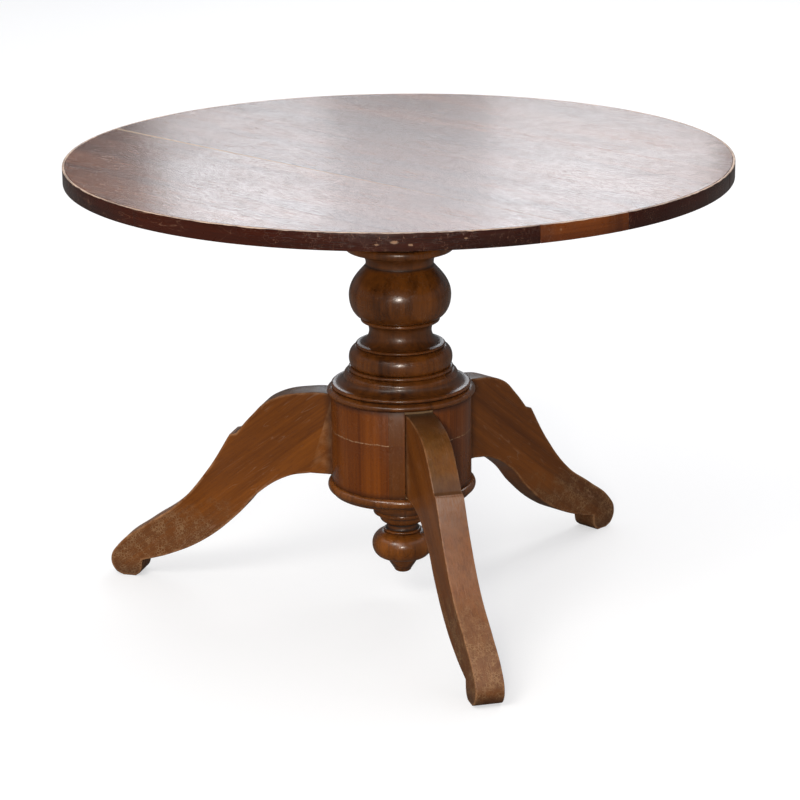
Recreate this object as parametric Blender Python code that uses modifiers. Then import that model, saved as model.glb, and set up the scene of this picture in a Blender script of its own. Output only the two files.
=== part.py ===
"""Round tilt-top pedestal table in walnut: planked top, turned column, drum and three scroll legs.

Metres, +Z up. The origin is on the column's axis, on the floor. One leg points along +Y and the
others stand at 120 degrees to it. The top tips down on the -Y side, between two legs, about two
iron pins that lie along X.
"""

import math

import bmesh
import bpy
from mathutils import Matrix

# Overall sizes
TABLE_HEIGHT = 0.741
TOP_DIAMETER = 1.060
TOP_THICKNESS = 0.027

# Clearances
GAP = 0.0003
SIDE_PLAY = 0.0005
STOP_PLAY = 0.001

# Top: planks along X inside a lipping that hides their ends
LIPPING = 0.004
LIPPING_ROUND = 0.0012
PLANK_WIDTH = 0.210
SEAM_Y = -0.165
LIPPING_STARTS = {
    "lipping_1": 28.0,
    "lipping_2": 112.0,
    "lipping_3": 196.0,
    "lipping_4": 268.0,
    "lipping_patch": 337.5,
    "lipping_5": 354.1,
}

# Bearers under the top, with the pivot
BEARER_SETBACK = 0.110
BEARER_WIDTH = 0.040
BEARER_DEPTH = 0.050
BEARER_END_DEPTH = 0.020
BEARER_LEVEL = 0.500
PIVOT_Y = -0.105
PIVOT_DROP = 0.029
PIN_RADIUS = 0.006
PIN_LENGTH_IN_BLOCK = 0.045

# Block on the head of the column
BLOCK_WIDTH = 0.190
BLOCK_HEIGHT = 0.074
BLOCK_FRONT = 0.100

# Screws through the bearers
SCREW_RADIUS = 0.0025
SCREW_HEAD_RADIUS = 0.005
SCREW_HEAD_HEIGHT = 0.003
SCREW_IN_TOP = 0.016
SCREW_SINK = 0.006
SCREW_SLOT = 0.0012
SCREW_FROM_END = 0.020

# Turn button that locks the top
BUTTON_FROM_SIDE = 0.040
BUTTON_HEADROOM = 0.002
BUTTON_REACH = 0.026
BUTTON_RADIUS = 0.010
BUTTON_TIP_RADIUS = 0.006
BUTTON_THICKNESS = 0.005
BUTTON_SCREW_RADIUS = 0.002
BUTTON_SCREW_DEPTH = 0.022
KEEPER_WIDTH = 0.025
KEEPER_LENGTH = 0.018
KEEPER_DEPTH = 0.010
KEEPER_PLAY = 0.0025

# Turned column
TENON_RADIUS = 0.022
WEDGE_THICKNESS = 0.004
WEDGE_DEPTH = 0.030
SPIGOT_RADIUS = 0.025
SPIGOT_IN_DRUM = 0.085
TORUS_HEIGHT = 0.038
MOULDING_HEIGHT = 0.0475

# Drum that the legs are housed in
DRUM_RADIUS = 0.114
DRUM_BOTTOM = 0.2038
DRUM_HEIGHT = 0.1454
VENEER = 0.0028
FOOT_RING_HEIGHT = 0.0195
FOOT_RING_PROUD = 0.007

# Drop finial under the drum
FINIAL_LENGTH = 0.142
FINIAL_DOWEL_RADIUS = 0.015
FINIAL_DOWEL_LENGTH = 0.060

# Legs
LEG_COUNT = 3
FIRST_LEG = 90.0
LEG_THICKNESS = 0.0455
LEG_REACH = 0.3923
LEG_RISE = 0.344
LEG_ARRIS = 0.0015
DOVETAIL_DEPTH = 0.036
DOVETAIL_NECK = 0.022
DOVETAIL_WIDTH = 0.030
DOVETAIL_TOP = 0.014

# Fineness of the round faces
TURN_STEPS = 32
FINIAL_STEPS = 24
QUARTER_STEPS = 3
RIM_STEP = 4.5
VENEER_STEPS = 18
LEG_STEPS = 3
PIN_SIDES = 16
SCREW_SIDES = 10
CUT = 0.010

# What follows from the sizes above
TOP_RADIUS = TOP_DIAMETER / 2
UNDERSIDE = TABLE_HEIGHT - TOP_THICKNESS
BLOCK_TOP = UNDERSIDE - GAP
BLOCK_BOTTOM = BLOCK_TOP - BLOCK_HEIGHT
BLOCK_END_RADIUS = PIVOT_DROP - STOP_PLAY
PIVOT_Z = UNDERSIDE - PIVOT_DROP
BEARER_TOP = UNDERSIDE - GAP
BEARER_LENGTH = TOP_DIAMETER - 2 * BEARER_SETBACK
BEARER_INSIDE = BLOCK_WIDTH / 2 + SIDE_PLAY
BEARER_X = BEARER_INSIDE + BEARER_WIDTH / 2
DRUM_TOP = DRUM_BOTTOM + DRUM_HEIGHT
CORE_RADIUS = DRUM_RADIUS - VENEER - GAP
MOULDING_BOTTOM = DRUM_TOP + GAP
MOULDING_TOP = MOULDING_BOTTOM + MOULDING_HEIGHT
TORUS_BOTTOM = MOULDING_TOP + GAP
TORUS_TOP = TORUS_BOTTOM + TORUS_HEIGHT
BALUSTER_BOTTOM = TORUS_TOP + GAP
BALUSTER_TOP = BLOCK_BOTTOM - GAP
FOOT_RING_TOP = DRUM_BOTTOM - GAP
FOOT_RING_BOTTOM = FOOT_RING_TOP - FOOT_RING_HEIGHT
FINIAL_TOP = FOOT_RING_BOTTOM - GAP
BUTTON_X = BLOCK_WIDTH / 2 - BUTTON_FROM_SIDE
BUTTON_Z = UNDERSIDE - BUTTON_REACH - BUTTON_HEADROOM

# Turned shapes, from the top down: shape, radius that it reaches, height that it takes.
# "line" is straight; "swell" leaves level and arrives upright; "sweep" leaves upright and
# arrives level; "ogee" is upright at both ends; "bead" bulges to its radius and comes back.
BALUSTER = (
    ("line", 0.060, 0.0370),
    ("line", 0.084, 0.0),
    ("bead", 0.088, 0.0130),
    ("swell", 0.0548, 0.0205),
    ("line", 0.0548, 0.0040),
    ("ogee", 0.0825, 0.0510),
    ("sweep", 0.058, 0.0370),
    ("line", 0.061, 0.0),
    ("bead", 0.064, 0.0060),
    ("swell", 0.0506, 0.0150),
    ("sweep", 0.069, 0.0205),
)
TORUS = (
    ("bead", 0.0725, 0.0050),
    ("line", 0.0705, 0.0005),
    ("swell", 0.084, 0.0185),
    ("sweep", 0.078, 0.0140),
)
MOULDING = (
    ("bead", DRUM_RADIUS - 0.0290, 0.0060),
    ("swell", DRUM_RADIUS - 0.0215, 0.0085),
    ("sweep", DRUM_RADIUS - 0.0045, 0.0130),
    ("bead", DRUM_RADIUS - 0.0005, 0.0065),
    ("line", DRUM_RADIUS - 0.0030, 0.0008),
    ("bead", DRUM_RADIUS + 0.0065, 0.0127),
)
FOOT_RING = (
    ("bead", DRUM_RADIUS + FOOT_RING_PROUD, 0.0150),
    ("line", DRUM_RADIUS + 0.0010, 0.0005),
    ("line", DRUM_RADIUS - 0.0010, 0.0040),
)
FINIAL = (
    ("swell", 0.046, 0.0240),
    ("line", 0.046, 0.0080),
    ("bead", 0.0475, 0.0060),
    ("line", 0.037, 0.0010),
    ("line", 0.037, 0.0065),
    ("sweep", 0.0256, 0.0085),
    ("line", 0.0256, 0.0050),
    ("sweep", 0.0290, 0.0060),
    ("bead", 0.0310, 0.0042),
    ("swell", 0.0500, 0.0220),
    ("sweep", 0.0330, 0.0225),
    ("swell", 0.0260, 0.0040),
    ("line", 0.0140, 0.0183),
    ("sweep", 0.0040, 0.0050),
)
OGEE_BIAS = 0.6

# Leg outline: share of the reach, share of the rise, and whether the outline is smooth there.
LEG_OUTLINE = (
    (0.092, 1.000, True),
    (0.268, 0.947, True),
    (0.347, 0.865, True),
    (0.417, 0.772, False),
    (0.446, 0.763, False),
    (0.548, 0.577, True),
    (0.691, 0.388, True),
    (0.834, 0.272, True),
    (0.964, 0.157, True),
    (1.000, 0.084, True),
    (0.980, 0.020, True),
    (0.946, 0.000, False),
    (0.890, 0.000, False),
    (0.867, 0.023, True),
    (0.858, 0.083, False),
    (0.734, 0.127, True),
    (0.572, 0.218, True),
    (0.417, 0.363, True),
    (0.319, 0.484, True),
    (0.188, 0.576, True),
    (0.092, 0.600, False),
)
LEG_UNDERSIDE = LEG_OUTLINE[-1][1] * LEG_RISE

COLOURS = {
    "top_walnut": ((0.20, 0.085, 0.042), 0.16, 0.0),
    "lipping_walnut": ((0.115, 0.036, 0.018), 0.24, 0.0),
    "patch_walnut": ((0.235, 0.085, 0.028), 0.24, 0.0),
    "turned_walnut": ((0.115, 0.042, 0.016), 0.22, 0.0),
    "drum_walnut": ((0.165, 0.055, 0.022), 0.26, 0.0),
    "leg_walnut": ((0.175, 0.068, 0.026), 0.33, 0.0),
    "raw_beech": ((0.30, 0.19, 0.10), 0.75, 0.0),
    "iron": ((0.12, 0.11, 0.10), 0.55, 1.0),
    "brass": ((0.52, 0.37, 0.15), 0.38, 1.0),
}


def clear_scene():
    for obj in list(bpy.data.objects):
        bpy.data.objects.remove(obj, do_unlink=True)


def new_collection(name):
    collection = bpy.data.collections.new(name)
    bpy.context.scene.collection.children.link(collection)
    return collection


def finish_material(name):
    colour, roughness, metallic = COLOURS[name]
    material = bpy.data.materials.get(name) or bpy.data.materials.new(name)
    material.use_nodes = True
    shader = material.node_tree.nodes["Principled BSDF"]
    shader.inputs["Base Color"].default_value = (*colour, 1.0)
    shader.inputs["Roughness"].default_value = roughness
    shader.inputs["Metallic"].default_value = metallic
    return material


def add_part(name, mesh, finish, smooth=35.0):
    """A finished sub-part, whose mesh is already where it belongs."""
    obj = bpy.data.objects.new(name, mesh)
    obj.data.materials.clear()
    obj.data.materials.append(finish_material(finish))
    PARTS.objects.link(obj)
    obj.data.shade_smooth()
    obj.data.set_sharp_from_angle(angle=math.radians(smooth))
    return obj


def add_helper(name, mesh):
    """A cutter or a piece to join, which is no part of the table."""
    obj = bpy.data.objects.new(name, mesh)
    CUTTERS.objects.link(obj)
    obj.hide_render = True
    obj.display_type = "WIRE"
    return obj


def boolean(obj, other, operation="DIFFERENCE"):
    modifier = obj.modifiers.new(f"{operation.lower()} {other.name}", "BOOLEAN")
    modifier.operation = operation
    modifier.object = other
    modifier.solver = "EXACT"


def bevel(obj, width, segments=1, angle=50.0):
    modifier = obj.modifiers.new("arris", "BEVEL")
    modifier.width = width
    modifier.segments = segments
    modifier.limit_method = "ANGLE"
    modifier.angle_limit = math.radians(angle)


def quarter(start, end, leaves_level):
    """Points of a quarter ellipse from start to end, without its start."""
    points = []
    for step in range(1, QUARTER_STEPS + 1):
        turn = math.pi / 2 * step / QUARTER_STEPS
        first, second = math.sin(turn), 1 - math.cos(turn)
        across, down = (first, second) if leaves_level else (second, first)
        points.append((
            start[0] + (end[0] - start[0]) * across,
            start[1] + (end[1] - start[1]) * down,
        ))
    return points


def ogee(start, end):
    """Points of an S that is upright at both ends and fuller at the lower one."""
    steps = 2 * QUARTER_STEPS
    points = []
    for step in range(1, steps + 1):
        share = step / steps
        across = (1 - math.cos(math.pi * share**OGEE_BIAS)) / 2
        points.append((
            start[0] + (end[0] - start[0]) * across,
            start[1] + (end[1] - start[1]) * share,
        ))
    return points


def turned_outline(shapes, radius, top, bottom):
    """The outer profile from top to bottom, its heights stretched to fill that length."""
    stretch = (top - bottom) / sum(height for _, _, height in shapes)
    points = [(radius, top)]
    for shape, reached, height in shapes:
        start = points[-1]
        end = (reached, start[1] - height * stretch)
        if shape == "line":
            points.append(end)
        elif shape == "ogee":
            points += ogee(start, end)
        elif shape == "bead":
            middle = (reached, (start[1] + end[1]) / 2)
            points += quarter(start, middle, True)
            points += quarter(middle, (start[0], end[1]), False)
        else:
            points += quarter(start, end, shape == "swell")
    return [p for i, p in enumerate(points) if i == 0 or math.dist(p, points[i - 1]) > 1e-5]


def turned_mesh(name, profile, closed=False, steps=TURN_STEPS):
    """The solid that a profile at +X sweeps round the Z axis, as a mesh."""
    mesh = bpy.data.meshes.new(name)
    last = len(profile) - 1
    edges = [(i, i + 1) for i in range(last)]
    if closed:
        edges.append((last, 0))
    mesh.from_pydata([(r, 0.0, z) for r, z in profile], edges, [])
    guide = bpy.data.objects.new(name, mesh)
    CUTTERS.objects.link(guide)
    screw = guide.modifiers.new("turn", "SCREW")
    screw.axis = "Z"
    screw.steps = steps
    screw.render_steps = steps
    screw.use_merge_vertices = True
    screw.merge_threshold = 0.00001
    return taken_mesh(guide)


def taken_mesh(guide):
    """The evaluated mesh of a guide object, in world space, and the guide removed."""
    bpy.context.view_layer.update()
    evaluated = guide.evaluated_get(bpy.context.evaluated_depsgraph_get())
    mesh = bpy.data.meshes.new_from_object(evaluated)
    mesh.transform(guide.matrix_world)
    mesh.name = guide.name
    bpy.data.objects.remove(guide, do_unlink=True)
    work = bmesh.new()
    work.from_mesh(mesh)
    bmesh.ops.remove_doubles(work, verts=work.verts, dist=0.00001)
    bmesh.ops.recalc_face_normals(work, faces=work.faces)
    work.to_mesh(mesh)
    work.free()
    return mesh


def outline_mesh(name, points, thickness, matrix, kind="POLY", handles=()):
    """A flat outline in its own XY plane with half its thickness each way, placed by a matrix."""
    curve = bpy.data.curves.new(name, "CURVE")
    curve.dimensions = "2D"
    curve.fill_mode = "BOTH"
    curve.extrude = thickness / 2
    curve.resolution_u = LEG_STEPS
    spline = curve.splines.new(kind)
    if kind == "BEZIER":
        spline.bezier_points.add(len(points) - 1)
        for knot, place, handle in zip(spline.bezier_points, points, handles):
            knot.co = (*place, 0.0)
            knot.handle_left_type = handle
            knot.handle_right_type = handle
    else:
        spline.points.add(len(points) - 1)
        for knot, place in zip(spline.points, points):
            knot.co = (*place, 0.0, 1.0)
    spline.use_cyclic_u = True
    guide = bpy.data.objects.new(name, curve)
    guide.matrix_world = matrix
    CUTTERS.objects.link(guide)
    return taken_mesh(guide)


def upright_yz(x):
    """Places an outline drawn as (y, z) upright, with its middle at x."""
    return Matrix.Translation((x, 0, 0)) @ Matrix.Rotation(math.pi / 2, 4, "Z") @ Matrix.Rotation(
        math.pi / 2, 4, "X"
    )


def upright_xz(y):
    """Places an outline drawn as (x, z) upright, with its middle at y."""
    return Matrix.Translation((0, y, 0)) @ Matrix.Rotation(math.pi / 2, 4, "X")


def cylinder_mesh(name, radius, length, matrix, sides=PIN_SIDES):
    work = bmesh.new()
    bmesh.ops.create_cone(
        work, cap_ends=True, segments=sides, radius1=radius, radius2=radius, depth=length
    )
    mesh = bpy.data.meshes.new(name)
    work.to_mesh(mesh)
    work.free()
    mesh.transform(matrix)
    return mesh


def box_mesh(name, low, high):
    work = bmesh.new()
    bmesh.ops.create_cube(work, size=1.0)
    mesh = bpy.data.meshes.new(name)
    work.to_mesh(mesh)
    work.free()
    size = [b - a for a, b in zip(low, high)]
    middle = [(a + b) / 2 for a, b in zip(low, high)]
    mesh.transform(Matrix.Translation(middle) @ Matrix.Diagonal((*size, 1.0)))
    return mesh


def along_x(x, y, z):
    return Matrix.Translation((x, y, z)) @ Matrix.Rotation(math.pi / 2, 4, "Y")


def along_y(x, y, z):
    return Matrix.Translation((x, y, z)) @ Matrix.Rotation(math.pi / 2, 4, "X")


def arc(radius, start, end, centre=(0.0, 0.0), steps=6):
    """Points on a circle from one angle to another, in degrees, ends included."""
    angles = [math.radians(start + (end - start) * i / steps) for i in range(steps + 1)]
    return [(centre[0] + radius * math.cos(a), centre[1] + radius * math.sin(a)) for a in angles]


def rim_arc(radius, start, end):
    """Points along the top's many-sided rim, whose corners lie at the same angles at every radius."""
    low, high = sorted((start, end))
    corners = range(math.floor(low / RIM_STEP) + 1, math.ceil(high / RIM_STEP))
    angles = [low, *(RIM_STEP * corner for corner in corners), high]
    if start > end:
        angles.reverse()
    points = []
    for angle in angles:
        from_flat = math.radians(angle % RIM_STEP - RIM_STEP / 2)
        reach = radius * math.cos(math.radians(RIM_STEP / 2)) / math.cos(from_flat)
        points.append((reach * math.cos(math.radians(angle)), reach * math.sin(math.radians(angle))))
    return points


def level(z):
    return Matrix.Translation((0, 0, z))


def seam_lines():
    """The plank joints' places along Y, from the one that is given."""
    inside = TOP_RADIUS - LIPPING - GAP
    first = SEAM_Y - math.floor((SEAM_Y + inside) / PLANK_WIDTH) * PLANK_WIDTH
    lines = []
    y = first
    while y < inside - PLANK_WIDTH / 2:
        lines.append(y)
        y += PLANK_WIDTH
    return [line for line in lines if line > -inside + PLANK_WIDTH / 4]


def plank_edges():
    """(low, high) along Y of every plank."""
    inside = TOP_RADIUS - LIPPING - GAP
    lines = [-inside, *seam_lines(), inside]
    edges = []
    for low, high in zip(lines, lines[1:]):
        low += GAP / 2 if low > -inside else 0
        high -= GAP / 2 if high < inside else 0
        edges.append((low, high))
    return edges


def make_planks():
    """Planks whose ends follow the round of the top, and the list of them from -Y to +Y."""
    inside = TOP_RADIUS - LIPPING - GAP
    planks = []
    for number, (low, high) in enumerate(plank_edges(), 1):
        first = math.degrees(math.asin(max(-1.0, low / inside)))
        last = math.degrees(math.asin(min(1.0, high / inside)))
        points = rim_arc(inside, first, last) + rim_arc(inside, 180 - last, 180 - first)
        points = [p for i, p in enumerate(points) if math.dist(p, points[i - 1]) > 1e-5]
        name = f"top_plank_{number}"
        mesh = outline_mesh(name, points, TOP_THICKNESS, level(TABLE_HEIGHT - TOP_THICKNESS / 2))
        planks.append(add_part(name, mesh, "top_walnut"))
    return planks


def make_lipping():
    """Solid strips glued round the planks, one of them a later and lighter patch."""
    play = math.degrees(GAP / TOP_RADIUS)
    inside = TOP_RADIUS - LIPPING
    starts = list(LIPPING_STARTS.values())
    height = level(TABLE_HEIGHT - TOP_THICKNESS / 2)
    for (name, start), end in zip(LIPPING_STARTS.items(), starts[1:] + [starts[0] + 360]):
        outline = rim_arc(TOP_RADIUS, start, end - play) + rim_arc(inside, end - play, start)
        mesh = outline_mesh(name, outline, TOP_THICKNESS, height)
        finish = "patch_walnut" if name == "lipping_patch" else "lipping_walnut"
        bevel(add_part(name, mesh, finish), LIPPING_ROUND)


def screw_places():
    """(plank number, y) of one screw to each plank that the bearer reaches, near its middle."""
    last = BEARER_LENGTH / 2 - SCREW_FROM_END
    places = []
    for number, (low, high) in enumerate(plank_edges()):
        y = max(-last, min(last, (low + high) / 2))
        if low + SCREW_HEAD_RADIUS < y < high - SCREW_HEAD_RADIUS:
            places.append((number, y))
    return places


def bearer_depth(y):
    """Depth of the bearer at y: level in the middle, tapering to its ends."""
    level_end = BEARER_LENGTH / 2 * BEARER_LEVEL
    if abs(y) <= level_end:
        return BEARER_DEPTH
    share = (abs(y) - level_end) / (BEARER_LENGTH / 2 - level_end)
    return BEARER_DEPTH + (BEARER_END_DEPTH - BEARER_DEPTH) * share


def make_screw(name, x, y):
    """A slotted countersunk wood screw, head down, its point in the top."""
    head = BEARER_TOP - bearer_depth(y) + SCREW_SINK
    tip = UNDERSIDE + SCREW_IN_TOP
    profile = [
        (0.0, tip),
        (SCREW_RADIUS, tip - 2 * SCREW_RADIUS),
        (SCREW_RADIUS, head + SCREW_HEAD_HEIGHT),
        (SCREW_HEAD_RADIUS, head + SCREW_HEAD_HEIGHT / 4),
        (SCREW_HEAD_RADIUS, head),
        (0.0, head),
    ]
    mesh = turned_mesh(name, profile, steps=SCREW_SIDES)
    mesh.transform(Matrix.Translation((x, y, 0)))
    screw = add_part(name, mesh, "iron")
    low = (x - SCREW_SLOT / 2, y - CUT, head - CUT)
    high = (x + SCREW_SLOT / 2, y + CUT, head + SCREW_HEAD_HEIGHT / 3)
    boolean(screw, add_helper(f"{name}_slot", box_mesh(f"{name}_slot", low, high)))


def screw_hole(name, x, y):
    """The hole that one screw stands in, through the bearer and into a plank."""
    head = BEARER_TOP - bearer_depth(y) + SCREW_SINK
    tip = UNDERSIDE + SCREW_IN_TOP + GAP
    wide = SCREW_HEAD_RADIUS + GAP
    thin = SCREW_RADIUS + GAP
    profile = [
        (0.0, tip),
        (thin, tip),
        (thin, head + SCREW_HEAD_HEIGHT + GAP),
        (wide, head + SCREW_HEAD_HEIGHT / 4 + GAP),
        (wide, head - SCREW_SINK - CUT),
        (0.0, head - SCREW_SINK - CUT),
    ]
    mesh = turned_mesh(name, profile, steps=SCREW_SIDES)
    mesh.transform(Matrix.Translation((x, y, 0)))
    return add_helper(name, mesh)


def make_bearers(planks):
    """Two tapered bearers across the planks, each with a screw to every plank."""
    half = BEARER_LENGTH / 2
    flat = half * BEARER_LEVEL
    bottom = BEARER_TOP - BEARER_DEPTH
    end_bottom = BEARER_TOP - BEARER_END_DEPTH
    outline = [
        (-half, BEARER_TOP),
        (-half, end_bottom),
        (-flat, bottom),
        (flat, bottom),
        (half, end_bottom),
        (half, BEARER_TOP),
    ]
    for side, sign in (("left", -1), ("right", 1)):
        x = sign * BEARER_X
        name = f"bearer_{side}"
        mesh = outline_mesh(name, outline, BEARER_WIDTH, upright_yz(x))
        bearer = add_part(name, mesh, "leg_walnut")
        hole = f"{name}_pin_hole"
        place = along_x(x, PIVOT_Y, PIVOT_Z)
        mesh = cylinder_mesh(hole, PIN_RADIUS + GAP, BEARER_WIDTH + 2 * CUT, place)
        boolean(bearer, add_helper(hole, mesh))
        for number, y in screw_places():
            make_screw(f"{name}_screw_{number + 1}", x, y)
            hole = screw_hole(f"{name}_screw_hole_{number + 1}", x, y)
            boolean(bearer, hole)
            boolean(planks[number], hole)


def make_block():
    """The block that the column's tenon passes through, rounded where the top swings past it."""
    back = PIVOT_Y - BLOCK_END_RADIUS
    rounding = arc(BLOCK_END_RADIUS, 180, 90, (PIVOT_Y, PIVOT_Z))
    outline = [(BLOCK_FRONT, BLOCK_BOTTOM), (back, BLOCK_BOTTOM), *rounding]
    outline += [(PIVOT_Y + BLOCK_END_RADIUS, BLOCK_TOP), (BLOCK_FRONT, BLOCK_TOP)]
    mesh = outline_mesh("pivot_block", outline, BLOCK_WIDTH, upright_yz(0))
    block = add_part("pivot_block", mesh, "leg_walnut")
    length = BLOCK_HEIGHT + 2 * CUT
    bore = cylinder_mesh(
        "tenon_hole", TENON_RADIUS + GAP, length, level((BLOCK_TOP + BLOCK_BOTTOM) / 2), TURN_STEPS
    )
    boolean(block, add_helper("tenon_hole", bore))
    outer = BEARER_X + BEARER_WIDTH / 2
    inner = BLOCK_WIDTH / 2 - PIN_LENGTH_IN_BLOCK
    for side, sign in (("left", -1), ("right", 1)):
        name = f"pivot_pin_{side}"
        place = along_x(sign * (inner + outer) / 2, PIVOT_Y, PIVOT_Z)
        pin = add_part(name, cylinder_mesh(name, PIN_RADIUS, outer - inner, place), "iron")
        bevel(pin, PIN_RADIUS / 8)
        place = along_x(sign * (inner - GAP + outer) / 2, PIVOT_Y, PIVOT_Z)
        hole = cylinder_mesh(f"{name}_hole", PIN_RADIUS + GAP, outer - inner + GAP, place)
        boolean(block, add_helper(f"{name}_hole", hole))
    return block


def make_catch(block):
    """A turn button on the block's face, and the keeper on a bearer that it turns over."""
    face = BLOCK_FRONT + SIDE_PLAY
    outline = arc(BUTTON_RADIUS, 180, 360, (BUTTON_X, BUTTON_Z))
    tip = (BUTTON_X, BUTTON_Z + BUTTON_REACH - BUTTON_TIP_RADIUS)
    outline += arc(BUTTON_TIP_RADIUS, 0, 180, tip)
    outline = [p for i, p in enumerate(outline) if math.dist(p, outline[i - 1]) > 0.0006]
    middle = face + BUTTON_THICKNESS / 2
    mesh = outline_mesh("catch_button", outline, BUTTON_THICKNESS, upright_xz(middle))
    button = add_part("catch_button", mesh, "brass")
    place = along_y(BUTTON_X, middle, BUTTON_Z)
    hole = cylinder_mesh("button_hole", BUTTON_SCREW_RADIUS + GAP, BUTTON_THICKNESS + CUT, place)
    boolean(button, add_helper("button_hole", hole))
    front = face + BUTTON_THICKNESS + GAP
    back = BLOCK_FRONT - BUTTON_SCREW_DEPTH
    head = 2 * BUTTON_SCREW_RADIUS
    profile = [(0.0, front + head / 2), *quarter((0.0, front + head / 2), (head, front), True)]
    profile += [(BUTTON_SCREW_RADIUS, front), (BUTTON_SCREW_RADIUS, back), (0.0, back)]
    profile = [p for i, p in enumerate(profile) if i == 0 or math.dist(p, profile[i - 1]) > 1e-5]
    mesh = turned_mesh("catch_screw", profile, steps=SCREW_SIDES)
    facing = Matrix.Rotation(-math.pi / 2, 4, "X")
    mesh.transform(Matrix.Translation((BUTTON_X, 0, BUTTON_Z)) @ facing)
    add_part("catch_screw", mesh, "iron")
    place = along_y(BUTTON_X, (back - GAP + BLOCK_FRONT + CUT) / 2, BUTTON_Z)
    length = BLOCK_FRONT + CUT - back + GAP
    hole = cylinder_mesh("catch_screw_hole", BUTTON_SCREW_RADIUS + GAP, length, place)
    boolean(block, add_helper("catch_screw_hole", hole))
    top = BUTTON_Z - BUTTON_RADIUS - SIDE_PLAY
    low = (BEARER_INSIDE - GAP - KEEPER_WIDTH, BLOCK_FRONT + KEEPER_PLAY, top - KEEPER_DEPTH)
    high = (BEARER_INSIDE - GAP, BLOCK_FRONT + KEEPER_PLAY + KEEPER_LENGTH, top)
    keeper = add_part("catch_keeper", box_mesh("catch_keeper", low, high), "leg_walnut")
    bevel(keeper, LIPPING_ROUND)


def make_column():
    """Baluster with a tenon above and a spigot below, and the two rings that slide on the spigot."""
    tenon_top = BLOCK_TOP - STOP_PLAY
    spigot_end = DRUM_TOP - SPIGOT_IN_DRUM
    outline = turned_outline(BALUSTER, BALUSTER[0][1], BALUSTER_TOP, BALUSTER_BOTTOM)
    profile = [(0.0, tenon_top), (TENON_RADIUS, tenon_top), (TENON_RADIUS, BALUSTER_TOP)]
    profile += outline
    profile += [(SPIGOT_RADIUS, BALUSTER_BOTTOM), (SPIGOT_RADIUS, spigot_end), (0.0, spigot_end)]
    baluster = add_part("baluster", turned_mesh("baluster", profile), "turned_walnut")
    slot_low = (-TENON_RADIUS - CUT, -WEDGE_THICKNESS / 2 - GAP, tenon_top - WEDGE_DEPTH - GAP)
    slot_high = (TENON_RADIUS + CUT, WEDGE_THICKNESS / 2 + GAP, tenon_top + CUT)
    boolean(baluster, add_helper("wedge_slot", box_mesh("wedge_slot", slot_low, slot_high)))
    half = math.sqrt(TENON_RADIUS**2 - (WEDGE_THICKNESS / 2) ** 2)
    low = (-half, -WEDGE_THICKNESS / 2, tenon_top - WEDGE_DEPTH)
    high = (half, WEDGE_THICKNESS / 2, tenon_top)
    add_part("tenon_wedge", box_mesh("tenon_wedge", low, high), "raw_beech")
    bore = SPIGOT_RADIUS + GAP
    make_ring("torus_ring", TORUS, BALUSTER[-1][1], TORUS_TOP, TORUS_BOTTOM, bore)
    first = MOULDING[0][1] - 0.003
    make_ring("base_moulding", MOULDING, first, MOULDING_TOP, MOULDING_BOTTOM, bore)


def make_ring(name, shapes, radius, top, bottom, bore):
    """A turned ring with a plain bore."""
    outline = turned_outline(shapes, radius, top, bottom)
    profile = [*outline, (bore, bottom), (bore, top)]
    return add_part(name, turned_mesh(name, profile, closed=True), "turned_walnut")


def dovetail_outline(play):
    """Plan of a leg's dovetail, drawn with the leg along +X and grown by play."""
    shoulder = CORE_RADIUS + GAP
    inner = shoulder - DOVETAIL_DEPTH
    neck = DOVETAIL_NECK / 2 + play
    wide = DOVETAIL_WIDTH / 2 + play
    outer = shoulder + CUT
    return [(inner - play, -wide), (outer, -neck), (outer, neck), (inner - play, wide)]


def leg_angles():
    return [FIRST_LEG + 360.0 / LEG_COUNT * number for number in range(LEG_COUNT)]


def make_drum():
    dowel_top = FOOT_RING_BOTTOM + FINIAL_DOWEL_LENGTH + GAP
    spigot_end = DRUM_TOP - SPIGOT_IN_DRUM - GAP
    bore = SPIGOT_RADIUS + GAP
    small = FINIAL_DOWEL_RADIUS + GAP
    profile = [(0.0, spigot_end), (bore, spigot_end), (bore, DRUM_TOP), (CORE_RADIUS, DRUM_TOP)]
    profile += [(CORE_RADIUS, DRUM_BOTTOM), (small, DRUM_BOTTOM), (small, dowel_top)]
    profile += [(0.0, dowel_top)]
    core = add_part("drum_core", turned_mesh("drum_core", profile), "raw_beech")
    housing_top = DRUM_TOP - DOVETAIL_TOP + GAP
    height = housing_top - DRUM_BOTTOM + CUT
    for number, angle in enumerate(leg_angles(), 1):
        turn = Matrix.Rotation(math.radians(angle), 4, "Z")
        name = f"housing_{number}"
        place = turn @ level(housing_top - height / 2)
        boolean(core, add_helper(name, outline_mesh(name, dovetail_outline(GAP), height, place)))
    half = math.degrees(math.asin((LEG_THICKNESS / 2 + GAP) / (DRUM_RADIUS - VENEER)))
    for number, angle in enumerate(leg_angles(), 1):
        end = angle + 360.0 / LEG_COUNT - half
        outline = arc(DRUM_RADIUS, angle + half, end, steps=VENEER_STEPS)
        outline += arc(DRUM_RADIUS - VENEER, end, angle + half, steps=VENEER_STEPS)
        name = f"drum_veneer_{number}"
        place = level((DRUM_TOP + DRUM_BOTTOM) / 2)
        add_part(name, outline_mesh(name, outline, DRUM_HEIGHT, place), "drum_walnut")
    make_ring(
        "drum_foot_ring", FOOT_RING, DRUM_RADIUS + 0.0010, FOOT_RING_TOP, FOOT_RING_BOTTOM, small
    )


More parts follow.
